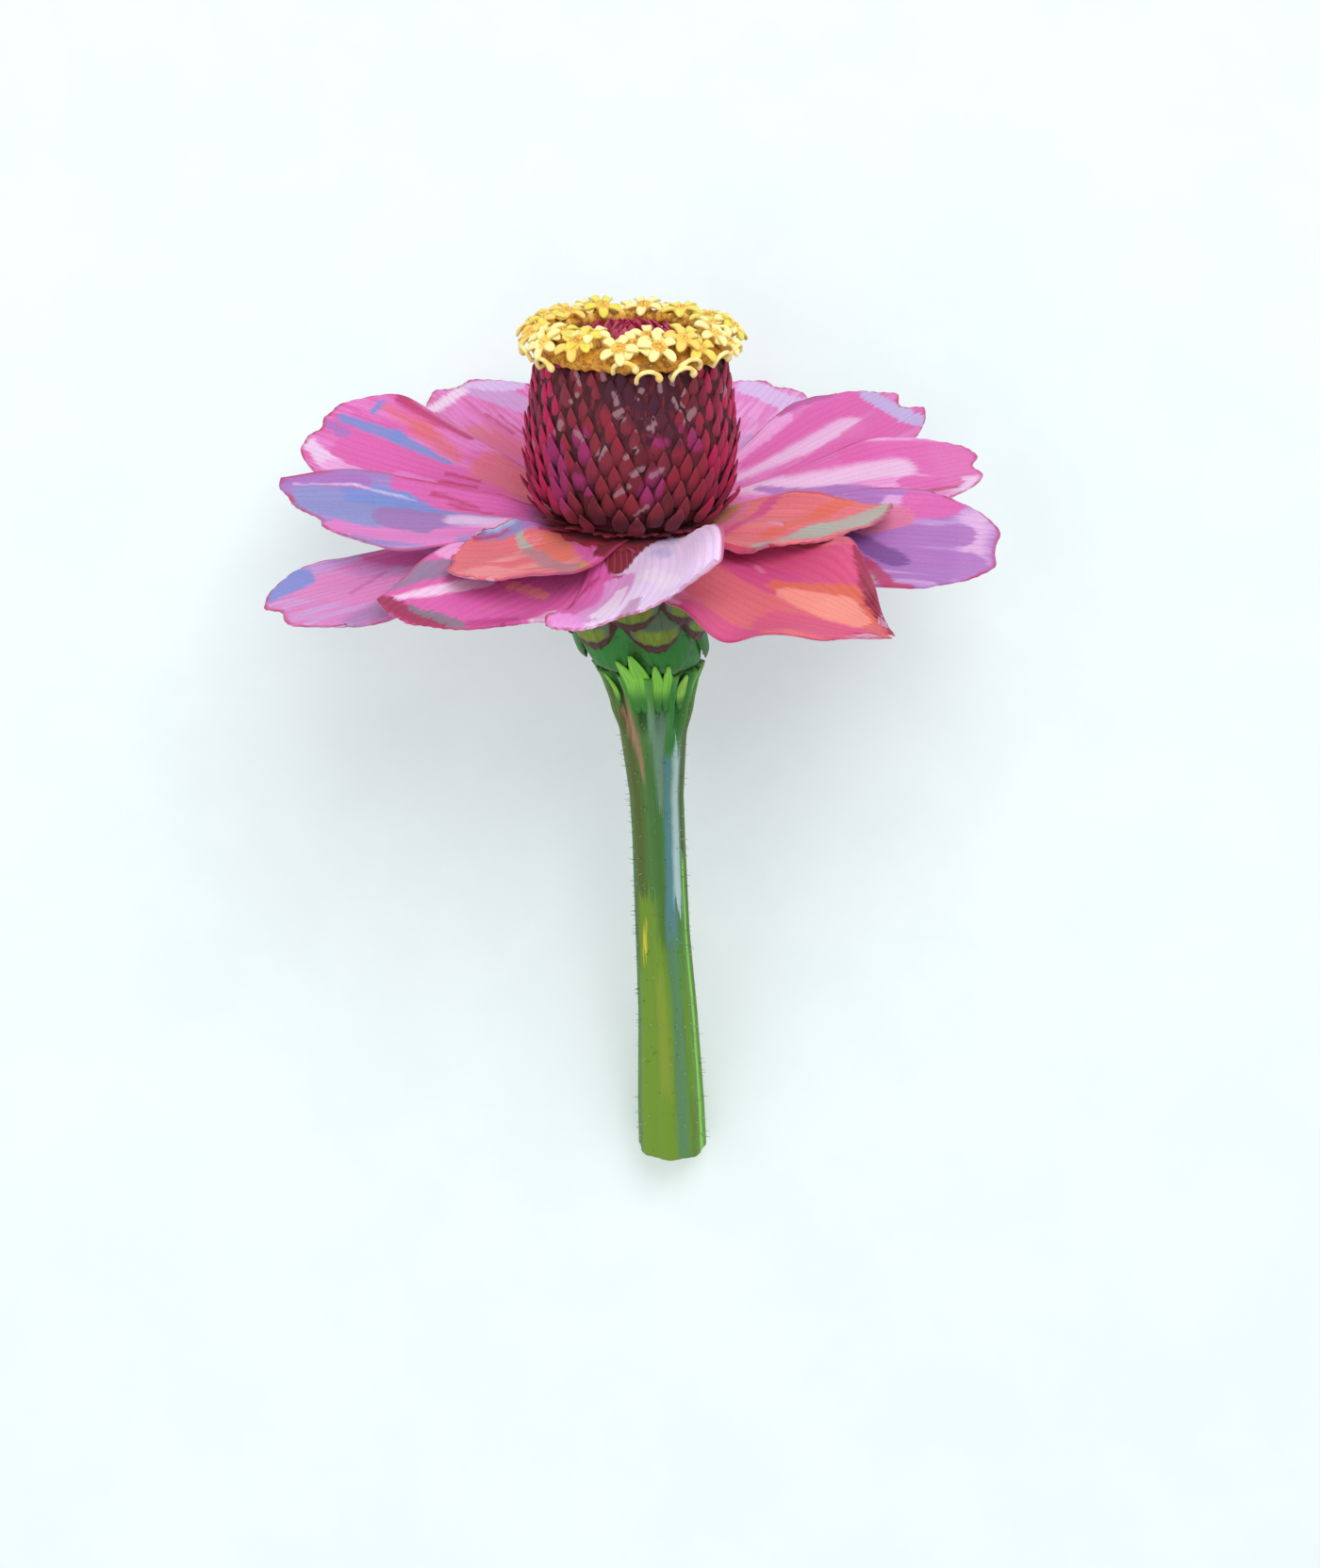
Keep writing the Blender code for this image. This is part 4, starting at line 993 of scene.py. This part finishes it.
# Patches on the cone, and painted highlights on the tips of its scales: two places (millimetres round
# the axis from the middle of the side looked at, and height, of both), half widths, colour, softness and
# strength
CONE_PATCHES = (
    (-1.5, 17.8, 3.8, 17.2, 2.2, 2.4, PLUM, 0.8, 0.9),
    (1.0, 15.0, 4.5, 12.6, 1.4, 1.4, PLUM, 0.8, 0.7),
    (-8.8, 10.6, -8.2, 4.8, 1.5, 1.3, MAGENTA_DARK),
    (-5.6, 12.4, -5.2, 10.4, 1.2, 1.0, MAGENTA_DARK),
    (-6.0, 7.6, -4.6, 7.0, 0.8, 0.8, MAGENTA_DARK),
    (6.2, 12.8, 7.2, 11.6, 1.0, 1.0, MAGENTA_DARK),
    (2.2, 12.4, 3.8, 11.9, 0.5, 0.5, MAGENTA_DARK),
    (2.8, 8.6, 1.9, 6.4, 0.9, 1.3, MAGENTA_DARK),
    (-2.0, 5.5, 3.5, 4.0, 1.4, 1.4, (134, 42, 46), 0.8, 0.7),
    (-6.0, 3.6, 6.0, 3.2, 0.7, 0.7, BURGUNDY_DARK, 0.8, 0.7),
)
CONE_HIGHLIGHTS = (
    (-9.9, 16.0, -9.3, 16.7, 0.2, 0.4), (-7.1, 15.9, -6.3, 16.6, 0.2, 0.35),
    (-1.8, 17.3, -1.5, 16.3, 0.3, 0.3), (0.8, 16.8, 1.2, 17.5, 0.25, 0.35),
    (4.9, 16.4, 6.0, 17.2, 0.35, 0.45), (-8.9, 12.3, -8.3, 13.4, 0.35, 0.5),
    (-1.7, 15.0, -0.9, 15.5, 0.35, 0.3), (-1.6, 14.2, -0.8, 14.7, 0.35, 0.25),
    (0.7, 13.5, 1.3, 14.4, 0.2, 0.3), (1.9, 13.6, 2.6, 14.1, 0.2, 0.3),
    (2.4, 13.2, 2.5, 14.6, 0.15, 0.2), (6.2, 14.0, 7.3, 14.9, 0.35, 0.45),
    (-3.5, 10.4, -2.8, 11.6, 0.3, 0.45), (-0.6, 10.6, 0.5, 11.4, 0.2, 0.35),
    (0.1, 8.8, 1.3, 9.4, 0.3, 0.3), (2.2, 8.6, 3.3, 9.2, 0.3, 0.3),
    (-1.6, 6.6, -0.2, 7.5, 0.3, 0.3), (0.4, 4.2, 1.9, 5.3, 0.15, 0.25),
    (-6.6, 18.9, -6.0, 17.8, 0.3, 0.25), (-3.5, 20.0, -3.1, 18.4, 0.25, 0.3),
    (3.1, 19.6, 3.3, 17.4, 0.3, 0.25), (4.8, 19.2, 4.9, 16.9, 0.3, 0.3),
    (5.4, 15.9, 6.2, 15.0, 0.45, 0.3), (-6.0, 12.9, -5.2, 12.3, 0.4, 0.3),
    (12.5, 15.5, 13.3, 16.2, 0.3, 0.4), (15.5, 10.5, 16.2, 11.3, 0.3, 0.4),
    (20.0, 14.0, 20.8, 14.8, 0.3, 0.4), (24.5, 9.0, 25.3, 9.8, 0.3, 0.4),
    (29.0, 15.0, 29.8, 15.8, 0.3, 0.4), (-13.5, 9.5, -12.8, 10.3, 0.3, 0.4),
    (-18.0, 14.5, -17.2, 15.2, 0.3, 0.4), (-23.0, 8.0, -22.2, 8.8, 0.3, 0.4),
    (-28.0, 13.0, -27.2, 13.8, 0.3, 0.4), (33.0, 8.0, 33.8, 8.8, 0.3, 0.4),
)


def disc_scale_paint(name):
    paint = Paint(name, roughness=0.6, sheen=0.05, specular=0.25)
    place, round_axis, height, _ = paint.attribute("place")
    shares, share, middle, chance = paint.attribute("shares")
    streaks = paint.noise(shares, (1.2, 5.0, 9.0), 1.5)
    patches = paint.noise(place, (0.22, 0.28, 1.0), 1.0, 2)
    brushed = paint.brushed(place, (0.6, 0.6, 1.0), (0.5, 0.5), (2.5, 0.5, 1.0), (0.0, 1.0))
    paint.layer(BURGUNDY)
    paint.layer((150, 34, 56), paint.ramp(patches, 0.45, 0.6))
    # Painted light: the cone's left and right flanks, as looked at, are lit crimson while its middle stays
    # dark
    sides = paint.ramp(paint.value("ABSOLUTE", round_axis), 7.6, 9.8)
    paint.layer(CRIMSON_SIDE_LIGHT, paint.product(sides, paint.ramp(height, 2.2, 4.5)))
    paint.layer((122, 48, 62), paint.ramp(chance, 0.65, 0.9, 0.0, 0.5))
    paint.layer(BURGUNDY_DARK, paint.ramp(chance, 0.3, 0.1, 0.0, 0.6))
    for stroke in CONE_PATCHES:
        paint.stroke(brushed, *stroke)
    # Painted shade: each scale darker towards its root, under the scale above
    paint.layer(BURGUNDY_DARK, paint.ramp(share, 0.5, 0.15, 0.0, 0.5))
    paint.layer(BURGUNDY_DARK, paint.ramp(streaks, 0.52, 0.68, 0.0, 0.4))
    paint.layer((140, 50, 72), paint.ramp(paint.value("ABSOLUTE", middle), 0.7, 1.0, 0.0, 0.25))
    # Painted highlights: pale mauve-grey on the tips of scales
    for fleck in CONE_HIGHLIGHTS:
        paint.stroke(brushed, *fleck, MAUVE_GREY_HIGHLIGHT, 0.12, 0.85)
    return paint.finish(streaks, 0.1, 0.6)


def crown_paint():
    paint = Paint("crown_paint", roughness=0.5, sheen=0.1)
    shares, share, _, chance = paint.attribute("shares")
    paint.layer(DEEP_RED)
    paint.layer(CROWN_RED, paint.ramp(share, 0.2, 0.7))
    paint.layer((214, 92, 120), paint.ramp(chance, 0.55, 0.9, 0.0, 0.7))
    return paint.finish(paint.noise(shares, (2.0, 4.0, 9.0), 1.5), 0.1, 0.5)


# Florets and styles

def build_florets():
    lobes, tubes, hearts, styles, buds, bed = (Parts() for _ in range(6))
    draw = random.Random(11)
    for row, (count, radius, height, lean) in enumerate(FLORET_ROWS):
        for index in range(count):
            angle = 2 * math.pi * (index + 0.5 * row + draw.uniform(-0.12, 0.12)) / count
            radial = Vector((math.cos(angle), math.sin(angle), 0))
            tilt = math.radians(lean + draw.uniform(-8, 8) - FAR_LEAN * max(radial.y, 0))
            axis = radial * math.sin(tilt) + Vector((0, 0, math.cos(tilt)))
            lift = axis * 0.7 + Vector((0, 0, draw.uniform(-0.3, 0.3) - FLORET_SLANT * radial.y))
            mouth = radial * (radius + draw.uniform(-0.25, 0.25)) + Vector((0, 0, height)) + lift
            turn = Matrix.Rotation(draw.uniform(0, 1) * math.pi, 3, axis)
            place = [np.array(part) for part in (mouth, axis, turn @ axis.orthogonal().normalized())]
            add_floret(lobes, tubes, hearts, place, index + 31 * row)
    for degrees, side, height in STYLES:
        add_style(styles, math.radians(degrees - 90), side, height)
    draw = random.Random(41)
    for index in range(BUD_COUNT):
        angle = 2 * math.pi * (index + draw.uniform(-0.2, 0.2)) / BUD_COUNT
        add_bud(buds, angle, draw.uniform(7.5, 8.1), draw.uniform(0.7, 0.95))
    points, faces = turned_skin(resample(FLORET_BED, 40), 120, closed=True)
    angle = np.arctan2(points[..., 1], points[..., 0])
    height = points[..., 2]
    height += 0.25 * np.sin(29 * angle + 3 * height) * np.sin(17 * angle - 4 * height)
    bed.add(points, faces, place=triples(angle, height, 0.0))
    bed.piece("floret_bed", "disc_florets", "floret", bed_paint())
    lobes.piece("floret_lobes", "disc_florets", "floret", lobe_paint())
    for parts, name, first, second in (
            (tubes, "tube", YELLOW, YELLOW_DEEP), (hearts, "heart", YELLOW, YELLOW_DEEP),
            (styles, "style", YELLOW_PALE, YELLOW), (buds, "bud", YELLOW, YELLOW_DEEP)):
        material = tube_paint(f"floret_{name}_paint", first, second)
        parts.piece(f"floret_{name}s", "disc_florets", "floret", material)


def add_floret(lobes, tubes, hearts, place, number):
    """One floret: a tube, five curved oval lobes in a star, and the anthers in its mouth."""
    draw = random.Random(1000 + number)
    at = frame_at(*place)
    path = [(0, 0, height) for height in (-1.5, -0.9, -0.3, 0.1, 0.3)]
    points, faces = tube(path, (0.55, 0.6, 0.78, 0.98, 0.86), 14)
    tubes.add(at(points), faces, tone=(draw.random(), 0.0, 0.0))
    rows, columns = 10, 7
    thickness = thin_rimmed(rows, columns, 0.3, 0.14)
    tone = draw.random()
    along, across = share_grids(rows, columns)
    oval = np.sqrt(np.clip(1 - (2 * along - 1) ** 2 * 0.96, 0.02, 1)) ** 0.9
    width = across * 0.56 * (0.75 + 0.35 * along) * oval
    lift = 0.12 + 0.42 * np.sin(np.pi * along * 0.8) - 0.40 * along ** 2
    lift = lift - 0.22 * (1 - across ** 2) * oval
    for lobe in range(5):
        turn = math.radians(-90 + 72 * lobe + draw.uniform(-5, 5))
        reach = 0.45 + draw.uniform(1.55, 1.9) * along
        local = triples(
            reach * math.cos(turn) - width * math.sin(turn),
            reach * math.sin(turn) + width * math.cos(turn), lift)
        lobes.add(
            at(closed_blade(local, thickness)), blade_faces(rows, columns),
            shares=triples(along, across, tone))
    for anther in range(5):
        radial = radial_at(math.radians(72 * anther + 20))
        path = [radial * 0.3, radial * 0.34 + upward(0.35), radial * 0.24 + upward(0.62)]
        points, faces = tube(path, (0.13, 0.16, 0.07), 7)
        hearts.add(at(points), faces, tone=(draw.random(), 0.0, 0.0))


def add_bud(buds, angle, radius, size):
    """A closed floret at the inner edge of the ring."""
    radial = radial_at(angle)
    base = radial * radius + upward(BUD_HEIGHT - FLORET_SLANT * radial[1])
    path = base + np.linspace(0, 1.7 * size, 7)[:, None] * (upward(1.0) - radial * 0.12)
    points, faces = tube(path, 0.5 * size * np.array([0.7, 0.85, 1.0, 1.08, 1.0, 0.7, 0.2]), 10)
    buds.add(points, faces, tone=(size % 0.1 * 10, 0.0, 0.0))


def add_style(styles, angle, side, height):
    """A style that arches out of the ring and hooks down, with an oval tip."""
    arch_width, arch_height = STYLE_ARCH
    path = [radial_at(angle) * (STYLE_RADIUS - 0.9) + upward(height)]
    for step in range(17):
        turn = math.radians(-10 + 12.5 * step)
        swing = angle + side * arch_width * (1 - math.cos(turn)) / STYLE_RADIUS
        reach = STYLE_RADIUS + STYLE_BULGE * math.sin(min(turn, math.pi))
        path.append(radial_at(swing) * reach + upward(height + arch_height * math.sin(turn)))
    points, faces = tube(path, [0.2] + [0.24] * 12 + [0.28, 0.36, 0.42, 0.36, 0.16], 10)
    styles.add(points, faces, tone=(0.5, 0.0, 0.0))


def lobe_paint():
    paint = Paint("floret_lobe_paint", roughness=0.5, sheen=0.1)
    shares, share, across, tone = paint.attribute("shares")
    flecks = paint.noise(shares, (2.5, 1.6, 7.0), 1.6)
    paint.layer(YELLOW_PALE)
    paint.layer(YELLOW_LEMON, paint.ramp(tone, 0.5, 0.56))
    paint.layer(YELLOW, paint.ramp(tone, 0.74, 0.8))
    paint.layer(YELLOW_DEEP, paint.ramp(share, 0.26, 0.02, 0.0, 0.9))
    paint.layer(YELLOW, paint.ramp(flecks, 0.56, 0.72, 0.0, 0.5))
    paint.layer(YELLOW_DEEP, paint.ramp(paint.value("ABSOLUTE", across), 0.75, 1.0, 0.0, 0.35))
    return paint.finish(flecks, 0.08, 0.5)


def tube_paint(name, first, second):
    paint = Paint(name, roughness=0.5, sheen=0.08)
    _, tone, _, _ = paint.attribute("tone")
    spots = paint.noise(paint.position(), (1, 1, 1), 900.0)
    paint.layer(first)
    paint.layer(second, paint.ramp(spots, 0.42, 0.66))
    paint.layer(second, paint.ramp(tone, 0.5, 1.0, 0.0, 0.6))
    return paint.finish(spots, 0.08, 0.5)


def bed_paint():
    paint = Paint("floret_bed_paint", roughness=0.6)
    place, *_ = paint.attribute("place")
    spots = paint.noise(place, (11.0, 1.2, 1.0), 1.3, 4)
    paint.layer(YELLOW_DEEP)
    paint.layer(GOLD_BROWN, paint.ramp(spots, 0.42, 0.62))
    paint.layer(YELLOW, paint.ramp(spots, 0.60, 0.72))
    return paint.finish(spots, 0.4, 0.7)


# Cup of bracts

def build_cup():
    bore = RECEPTACLE_RADIUS + CLEARANCE
    outside = resample((*CUP_PROFILE, (bore, CUP_FOOT)), 44)
    inside = resample(((bore, CUP_FOOT), (bore, CUP_TOP)), 12)
    points, faces = turned_skin(np.vstack([outside, inside[1:]]), 96, closed=True)
    place = triples(np.arctan2(points[..., 1], points[..., 0]), points[..., 2], 0.0)
    wall = Parts()
    wall.add(stem_shift(points), faces, place=place)
    wall.piece("cup_wall", "involucre", "bract", cup_wall_paint())
    bracts = Parts()
    draw = random.Random(5)
    rows, columns = 26, 25
    along, across = share_grids(rows, columns)
    for row, (count, top, length, width) in enumerate(BRACT_ROWS):
        for index in range(count):
            turn = 2 * math.pi * (index + 0.5 * row + draw.uniform(-0.08, 0.08)) / count
            size = (top, length * draw.uniform(0.94, 1.04), width * draw.uniform(0.95, 1.05))
            points, gap = bract_points(turn, size, along, across, 10 * row + index)
            thickness = 0.5 * np.sqrt(np.clip(gap / 0.9, 0.08, 1))
            bracts.add(
                closed_blade(stem_shift(points), thickness), blade_faces(rows, columns),
                place=(turn, row, (row * 8 + index) / 24), shares=triples(along, across, gap))
    bracts.piece("bracts", "involucre", "bract", bract_paint())


def bract_points(turn, size, along, across, seed):
    """Middle surface of one bract, as in part.py, with a ragged free edge, and the gap to it."""
    top, length, width = size
    rounding, power = BRACT_ROUNDING
    corner = rounding * np.abs(across) ** power
    ragged = 0.10 * np.sin(19 * across + seed) + 0.07 * np.sin(31 * across + 2.1 * seed)
    height = top - length * along * (1 - along * corner) - ragged * along ** 6
    lift = BRACT_FLARE * along ** 0.6 * (1 - 0.3 * across * across) - BRACT_ROOT
    lift = lift - 0.35 * along ** 8 + 0.06 * np.cos(np.pi * 6 * across) * along
    radius = radius_at(CUP_PROFILE, height) + lift
    swing = turn + across * width / 2 / radius * (1 - 0.25 * along ** 3)
    points = triples(radius * np.cos(swing), radius * np.sin(swing), height)
    gap = np.minimum((1 - np.abs(across)) * width / 2, (1 - along) * length * (1 - corner))
    return points, gap


def build_tongues():
    parts = Parts()
    draw = random.Random(81)
    rows, columns = 14, 9
    share, middle = share_grids(rows, columns)
    radius, height = TONGUE_ROOT
    for degrees, length, width in TONGUES:
        # Those on the side looked at lap over the lowest bracts, and the others end under them
        slope, bow = (0.5, 0.6) if abs(degrees) < 40 else (0.36, 0.3)
        radial = radial_at(math.radians(degrees - 90))
        local = triples(
            middle * width / 2 * np.sin(np.pi * (0.1 + 0.86 * share)) ** 0.9,
            -bow * np.sin(np.pi * share) - 0.1 * middle ** 2, length * share)
        at = frame_at(radial * radius + upward(height), radial * slope + upward(1.0), radial)
        points = at(closed_blade(local, thin_rimmed(rows, columns, 0.3, 0.12)))
        parts.add(
            stem_shift(points), blade_faces(rows, columns),
            shares=triples(share, middle, draw.random()))
    parts.piece("cup_tongues", "involucre", "bract", tongue_paint())


def tongue_paint():
    paint = Paint("tongue_paint", roughness=0.5, specular=0.35)
    shares, share, _, chance = paint.attribute("shares")
    streaks = paint.noise(shares, (1.5, 4.0, 9.0), 1.6)
    # The lime is partly the green of the ends of the ribs and partly painted highlight on them
    paint.layer(LIME)
    paint.layer((176, 214, 84), paint.ramp(chance, 0.5, 0.9, 0.0, 0.7))
    paint.layer((88, 168, 52), paint.ramp(streaks, 0.45, 0.65, 0.0, 0.8))
    paint.layer((54, 128, 44), paint.ramp(share, 0.5, 0.15))
    return paint.finish(streaks, 0.12, 0.5)


def cup_wall_paint():
    paint = Paint("cup_wall_paint", roughness=0.55)
    place, *_ = paint.attribute("place")
    spots = paint.noise(place, (4.0, 0.9, 1.0), 1.2)
    paint.layer(STEM_BRIGHT)
    paint.layer(STEM_DARK, paint.ramp(spots, 0.46, 0.66, 0.0, 0.6))
    return paint.finish(spots, 0.2, 0.5)


def bract_paint():
    paint = Paint("bract_paint", roughness=0.5, specular=0.35)
    _, _, row, chance = paint.attribute("place")
    _, along, across, gap = paint.attribute("shares")
    flat = paint.node("ShaderNodeCombineXYZ", (along, across, chance)).outputs[0]
    lines = paint.noise(flat, (1.2, 6.0, 1.0), 1.6)
    blots = paint.noise(flat, (2.0, 2.0, 9.0), 1.2, 2)
    # The lowest row is plain bright green, and those above it have an olive patch and a dark rim
    above = paint.ramp(row, 1.7, 1.3)
    paint.layer(STEM_BRIGHT)
    paint.layer(BRACT_GREEN, above)
    olive = paint.product(
        paint.ramp(gap, 0.7, 1.3), paint.ramp(paint.value("ABSOLUTE", across), 0.72, 0.5))
    olive = paint.product(paint.product(olive, above), paint.ramp(along, 0.5, 0.62))
    paint.layer(BRACT_OLIVE, olive)
    paint.layer(LIME, paint.product(olive, paint.ramp(blots, 0.5, 0.7, 0.0, 0.4)))
    paint.layer(STEM_DARK, paint.ramp(lines, 0.5, 0.7, 0.0, 0.4))
    edge = paint.value("ADD", gap, paint.product(paint.value("SUBTRACT", lines, 0.5), 0.5))
    rim = paint.product(paint.ramp(edge, 1.2, 0.85), paint.ramp(row, 1.7, 1.3, 0.25, 1.0))
    paint.layer(BRACT_RIM, rim)
    paint.layer((124, 60, 52), paint.ramp(edge, 0.16, 0.02, 0.0, 0.5))
    return paint.finish(lines, 0.15, 0.5)


# Stem

def build_stem():
    """The ribbed stem with its flare, its cut end, and the receptacle that the head stands on."""
    heights = np.concatenate([
        [STEM_END + 0.02, STEM_END + 0.12], np.linspace(STEM_END + 0.35, -15.62, STEM_RINGS),
        [-15.55, -15.5, -8.0, 0.0, RECEPTACLE_TOP - 0.15, RECEPTACLE_TOP]])[:, None]
    radius = np.interp(heights, *np.array(STEM_PROFILE).T)
    radius[[0, 1, -1]] -= [[0.35], [0.12], [0.15]]
    turn = np.linspace(-math.pi, math.pi, STEM_SIDES, endpoint=False)
    flare = smooth_step((heights + 24.5) / 3.5)
    ribs = 0.55 * flare * np.cos(12 * turn) + 0.16 * (1 - 0.6 * flare) * np.cos(7 * turn + 0.6)
    ribs = (ribs + 0.04 * np.cos(23 * turn + 1.1)) * (heights < STEM_TOP)
    outline = radius + ribs
    points = [*triples(outline * np.sin(turn), -outline * np.cos(turn), heights)]
    places = [*triples(turn * STEM_UNROLL, heights, ribs)]
    # The cut end: rings towards a slightly hollow middle, with places of their own
    rim = points[0]
    for share in (0.82, 0.6, 0.4, 0.2, 0.05):
        hollow = upward(STEM_END + 0.02 + 0.25 * (1 - share ** 2))
        points.insert(0, rim * (share, share, 0.0) + hollow)
        places.insert(0, triples(turn * STEM_UNROLL, -90.0 + 5 * share, 0.0))
    skin = Parts()
    faces = flipped(ring_faces(len(points), STEM_SIDES))
    skin.add(stem_shift(np.array(points)), faces, place=places)
    skin.piece("stem_skin", "stem", "stem", stem_paint())
    hairs = Parts()
    draw = random.Random(61)
    for _ in range(HAIR_COUNT):
        height = draw.uniform(STEM_END + 1, -17)
        radial = radial_at(draw.uniform(-math.pi, math.pi) - math.pi / 2)
        start = radial * np.interp(height, *np.array(STEM_PROFILE).T) + upward(height)
        direction = radial + upward(draw.uniform(-0.25, 0.35))
        length = draw.uniform(0.35, 0.75)
        path = start + np.outer((-0.1, 0.5 * length, length), direction)
        points, faces = tube(path, (0.045, 0.03, 0.008), 4)
        hairs.add(stem_shift(points), faces)
    hairs.piece("stem_hairs", "stem", "stem", hair_paint())


def hair_paint():
    paint = Paint("stem_hair_paint", roughness=0.4)
    paint.layer((190, 206, 160))
    spots = paint.noise(paint.position(), (1, 1, 1), 400.0, 2)
    paint.layer(STEM_GREEN, paint.ramp(spots, 0.4, 0.7))
    return paint.finish()


# Strokes on the stem: two places (millimetres to the right of its middle line as it is unrolled,
# and height, of both), half widths, colour, softness and strength
STEM_STROKES = (
    (-3.4, -18.0, -3.2, -50.0, 1.5, 1.3, (84, 98, 38), 0.6, 0.85),
    (-1.6, -44.0, -1.5, -75.0, 1.7, 2.1, (114, 150, 36), 0.6, 0.85),
    (-4.7, -48.0, -4.5, -74.0, 0.8, 0.7, (60, 98, 44), 0.5, 0.8),
    (2.4, -17.0, 2.2, -28.0, 1.1, 0.6, STEM_BRIGHT, 0.4, 0.9),
    (-0.3, -26.0, 0.1, -48.0, 0.8, 0.6, (66, 112, 48), 0.5, 0.7),
    # Painted highlight: a grey-green strip down the middle of the upper stem
    (0.5, -21.0, 0.6, -32.0, 0.9, 0.3, (112, 148, 122), 0.3, 0.9),
    (-2.5, -19.6, -1.3, -28.6, 0.8, 0.2, (172, 128, 102), 0.3, 0.85),
    # Painted reflection: a teal band down the stem, and beside it a blue-white painted highlight
    (1.6, -26.0, 1.4, -48.0, 0.4, 0.8, (84, 134, 142), 0.35, 0.95),
    (1.4, -48.0, 1.3, -75.0, 0.7, 0.6, (88, 134, 96), 0.4, 0.85),
    (2.7, -25.5, 2.5, -43.5, 0.5, 0.55, (186, 212, 216), 0.4, 0.85),
    (4.6, -23.5, 4.4, -39.0, 0.45, 0.4, (72, 72, 46), 0.3, 0.8),
    (4.2, -39.0, 4.0, -75.0, 0.35, 0.5, (126, 214, 60), 0.2, 0.95),
    # Painted highlight: a small yellow glint
    (-2.3, -46.0, -2.5, -49.5, 0.12, 0.3, (222, 204, 60), 0.25, 0.85),
    (-0.6, -52.0, -0.3, -66.0, 0.5, 0.7, (146, 156, 52), 0.5, 0.5),
)


def stem_paint():
    paint = Paint("stem_paint", roughness=0.5, specular=0.35)
    place, _, height, rib = paint.attribute("place")
    flat = paint.vector("MULTIPLY", place, (1.0, 1.0, 0.0))
    streaks = paint.noise(flat, (1.1, 0.09, 1.0), 1.0, 4)
    brushed = paint.brushed(flat, (0.5, 0.3, 1.0), (0.5, 1.6), (3.0, 0.06, 1.0), (0.0, 12.0))
    paint.layer(STEM_GREEN)
    paint.layer(STEM_BRIGHT, paint.ramp(height, -22.0, -17.0, 0.0, 0.8))
    paint.layer(STEM_LOWER, paint.ramp(height, -42.0, -58.0, 0.0, 0.85))
    paint.layer(STEM_OLIVE, paint.ramp(streaks, 0.42, 0.66, 0.0, 0.7))
    # Painted highlight on the crests of the ribs near the top, and painted shade in the grooves between
    # them
    crest_highlight = paint.product(paint.ramp(rib, 0.12, 0.45), paint.ramp(height, -23.5, -19.5, 0.0, 0.6))
    paint.layer((92, 160, 62), crest_highlight)
    groove_shade = paint.product(paint.ramp(rib, -0.02, -0.3), paint.ramp(height, -26.0, -20.0, 0.0, 0.7))
    paint.layer(STEM_DARK, groove_shade)
    for stroke in STEM_STROKES:
        paint.stroke(brushed, *stroke)
    paint.layer(PITH, paint.ramp(height, -75.6, -78.0))
    # The part above the shoulder stands inside the cup and the cone
    paint.layer(BURGUNDY, paint.ramp(height, -3.0, -1.5))
    return paint.finish(streaks, 0.25, 0.6)


# Camera, light and floor

def build_camera():
    elevation = math.radians(CAMERA_ELEVATION)
    toward = np.array([0.0, -math.cos(elevation), math.sin(elevation)])
    back, up = TURN @ toward, TURN @ np.array([0.0, math.sin(elevation), math.cos(elevation)])
    matrix = np.eye(4)
    matrix[:3, :3] = np.column_stack([np.cross(up, back), up, back])
    matrix[:3, 3] = (ORIGIN + TURN @ (np.array(CAMERA_TARGET) + toward * CAMERA_DISTANCE)) * MM
    data = bpy.data.cameras.new("photo_camera")
    data.lens = CAMERA_LENS
    data.sensor_width = 36.0
    data.clip_start = 0.01
    camera = bpy.data.objects.new("photo_camera", data)
    camera.matrix_world = Matrix(matrix.tolist())
    bpy.context.scene.collection.objects.link(camera)
    bpy.context.scene.camera = camera


def build_stage():
    scene = bpy.context.scene
    scene.view_settings.view_transform = "Standard"
    world = bpy.data.worlds.new("studio")
    world.use_nodes = True
    backdrop = world.node_tree.nodes["Background"]
    backdrop.inputs["Color"].default_value = (0.97, 0.99, 1.0, 1)
    backdrop.inputs["Strength"].default_value = 0.66
    scene.world = world
    for name, place, size, power in LIGHTS:
        data = bpy.data.lights.new(name, "AREA")
        data.size = size
        data.energy = power
        light = bpy.data.objects.new(name, data)
        light.location = place
        light.rotation_euler = (Vector(LIGHT_AIM) - Vector(place)).to_track_quat("-Z", "Y").to_euler()
        scene.collection.objects.link(light)
    mesh = bpy.data.meshes.new("floor")
    corners = ((-1, -1), (1, -1), (1, 1), (-1, 1))
    mesh.from_pydata([(x * FLOOR_REACH, y * FLOOR_REACH, 0) for x, y in corners], [], [(0, 1, 2, 3)])
    floor = bpy.data.objects.new("floor", mesh)
    floor.location.z = cad_low[2]
    scene.collection.objects.link(floor)
    paint = Paint("floor_paint", roughness=0.9, specular=0.1)
    paint.layer((206, 216, 216))
    mottle = paint.noise(paint.position(), (1, 1, 1), 60.0, 4)
    paint.layer((209, 219, 219), paint.ramp(mottle, 0.4, 0.6))
    paint.shader.inputs["Emission Color"].default_value = (0.92, 1.0, 1.0, 1.0)
    paint.shader.inputs["Emission Strength"].default_value = 0.26
    mesh.materials.append(paint.finish())


build_camera()
build_stage()
for number, petal_name in enumerate(PETALS):
    build_petal(petal_name, 1.7 * number + 0.4)
build_petal_ring()
build_disc()
build_florets()
build_cup()
build_tongues()
build_stem()
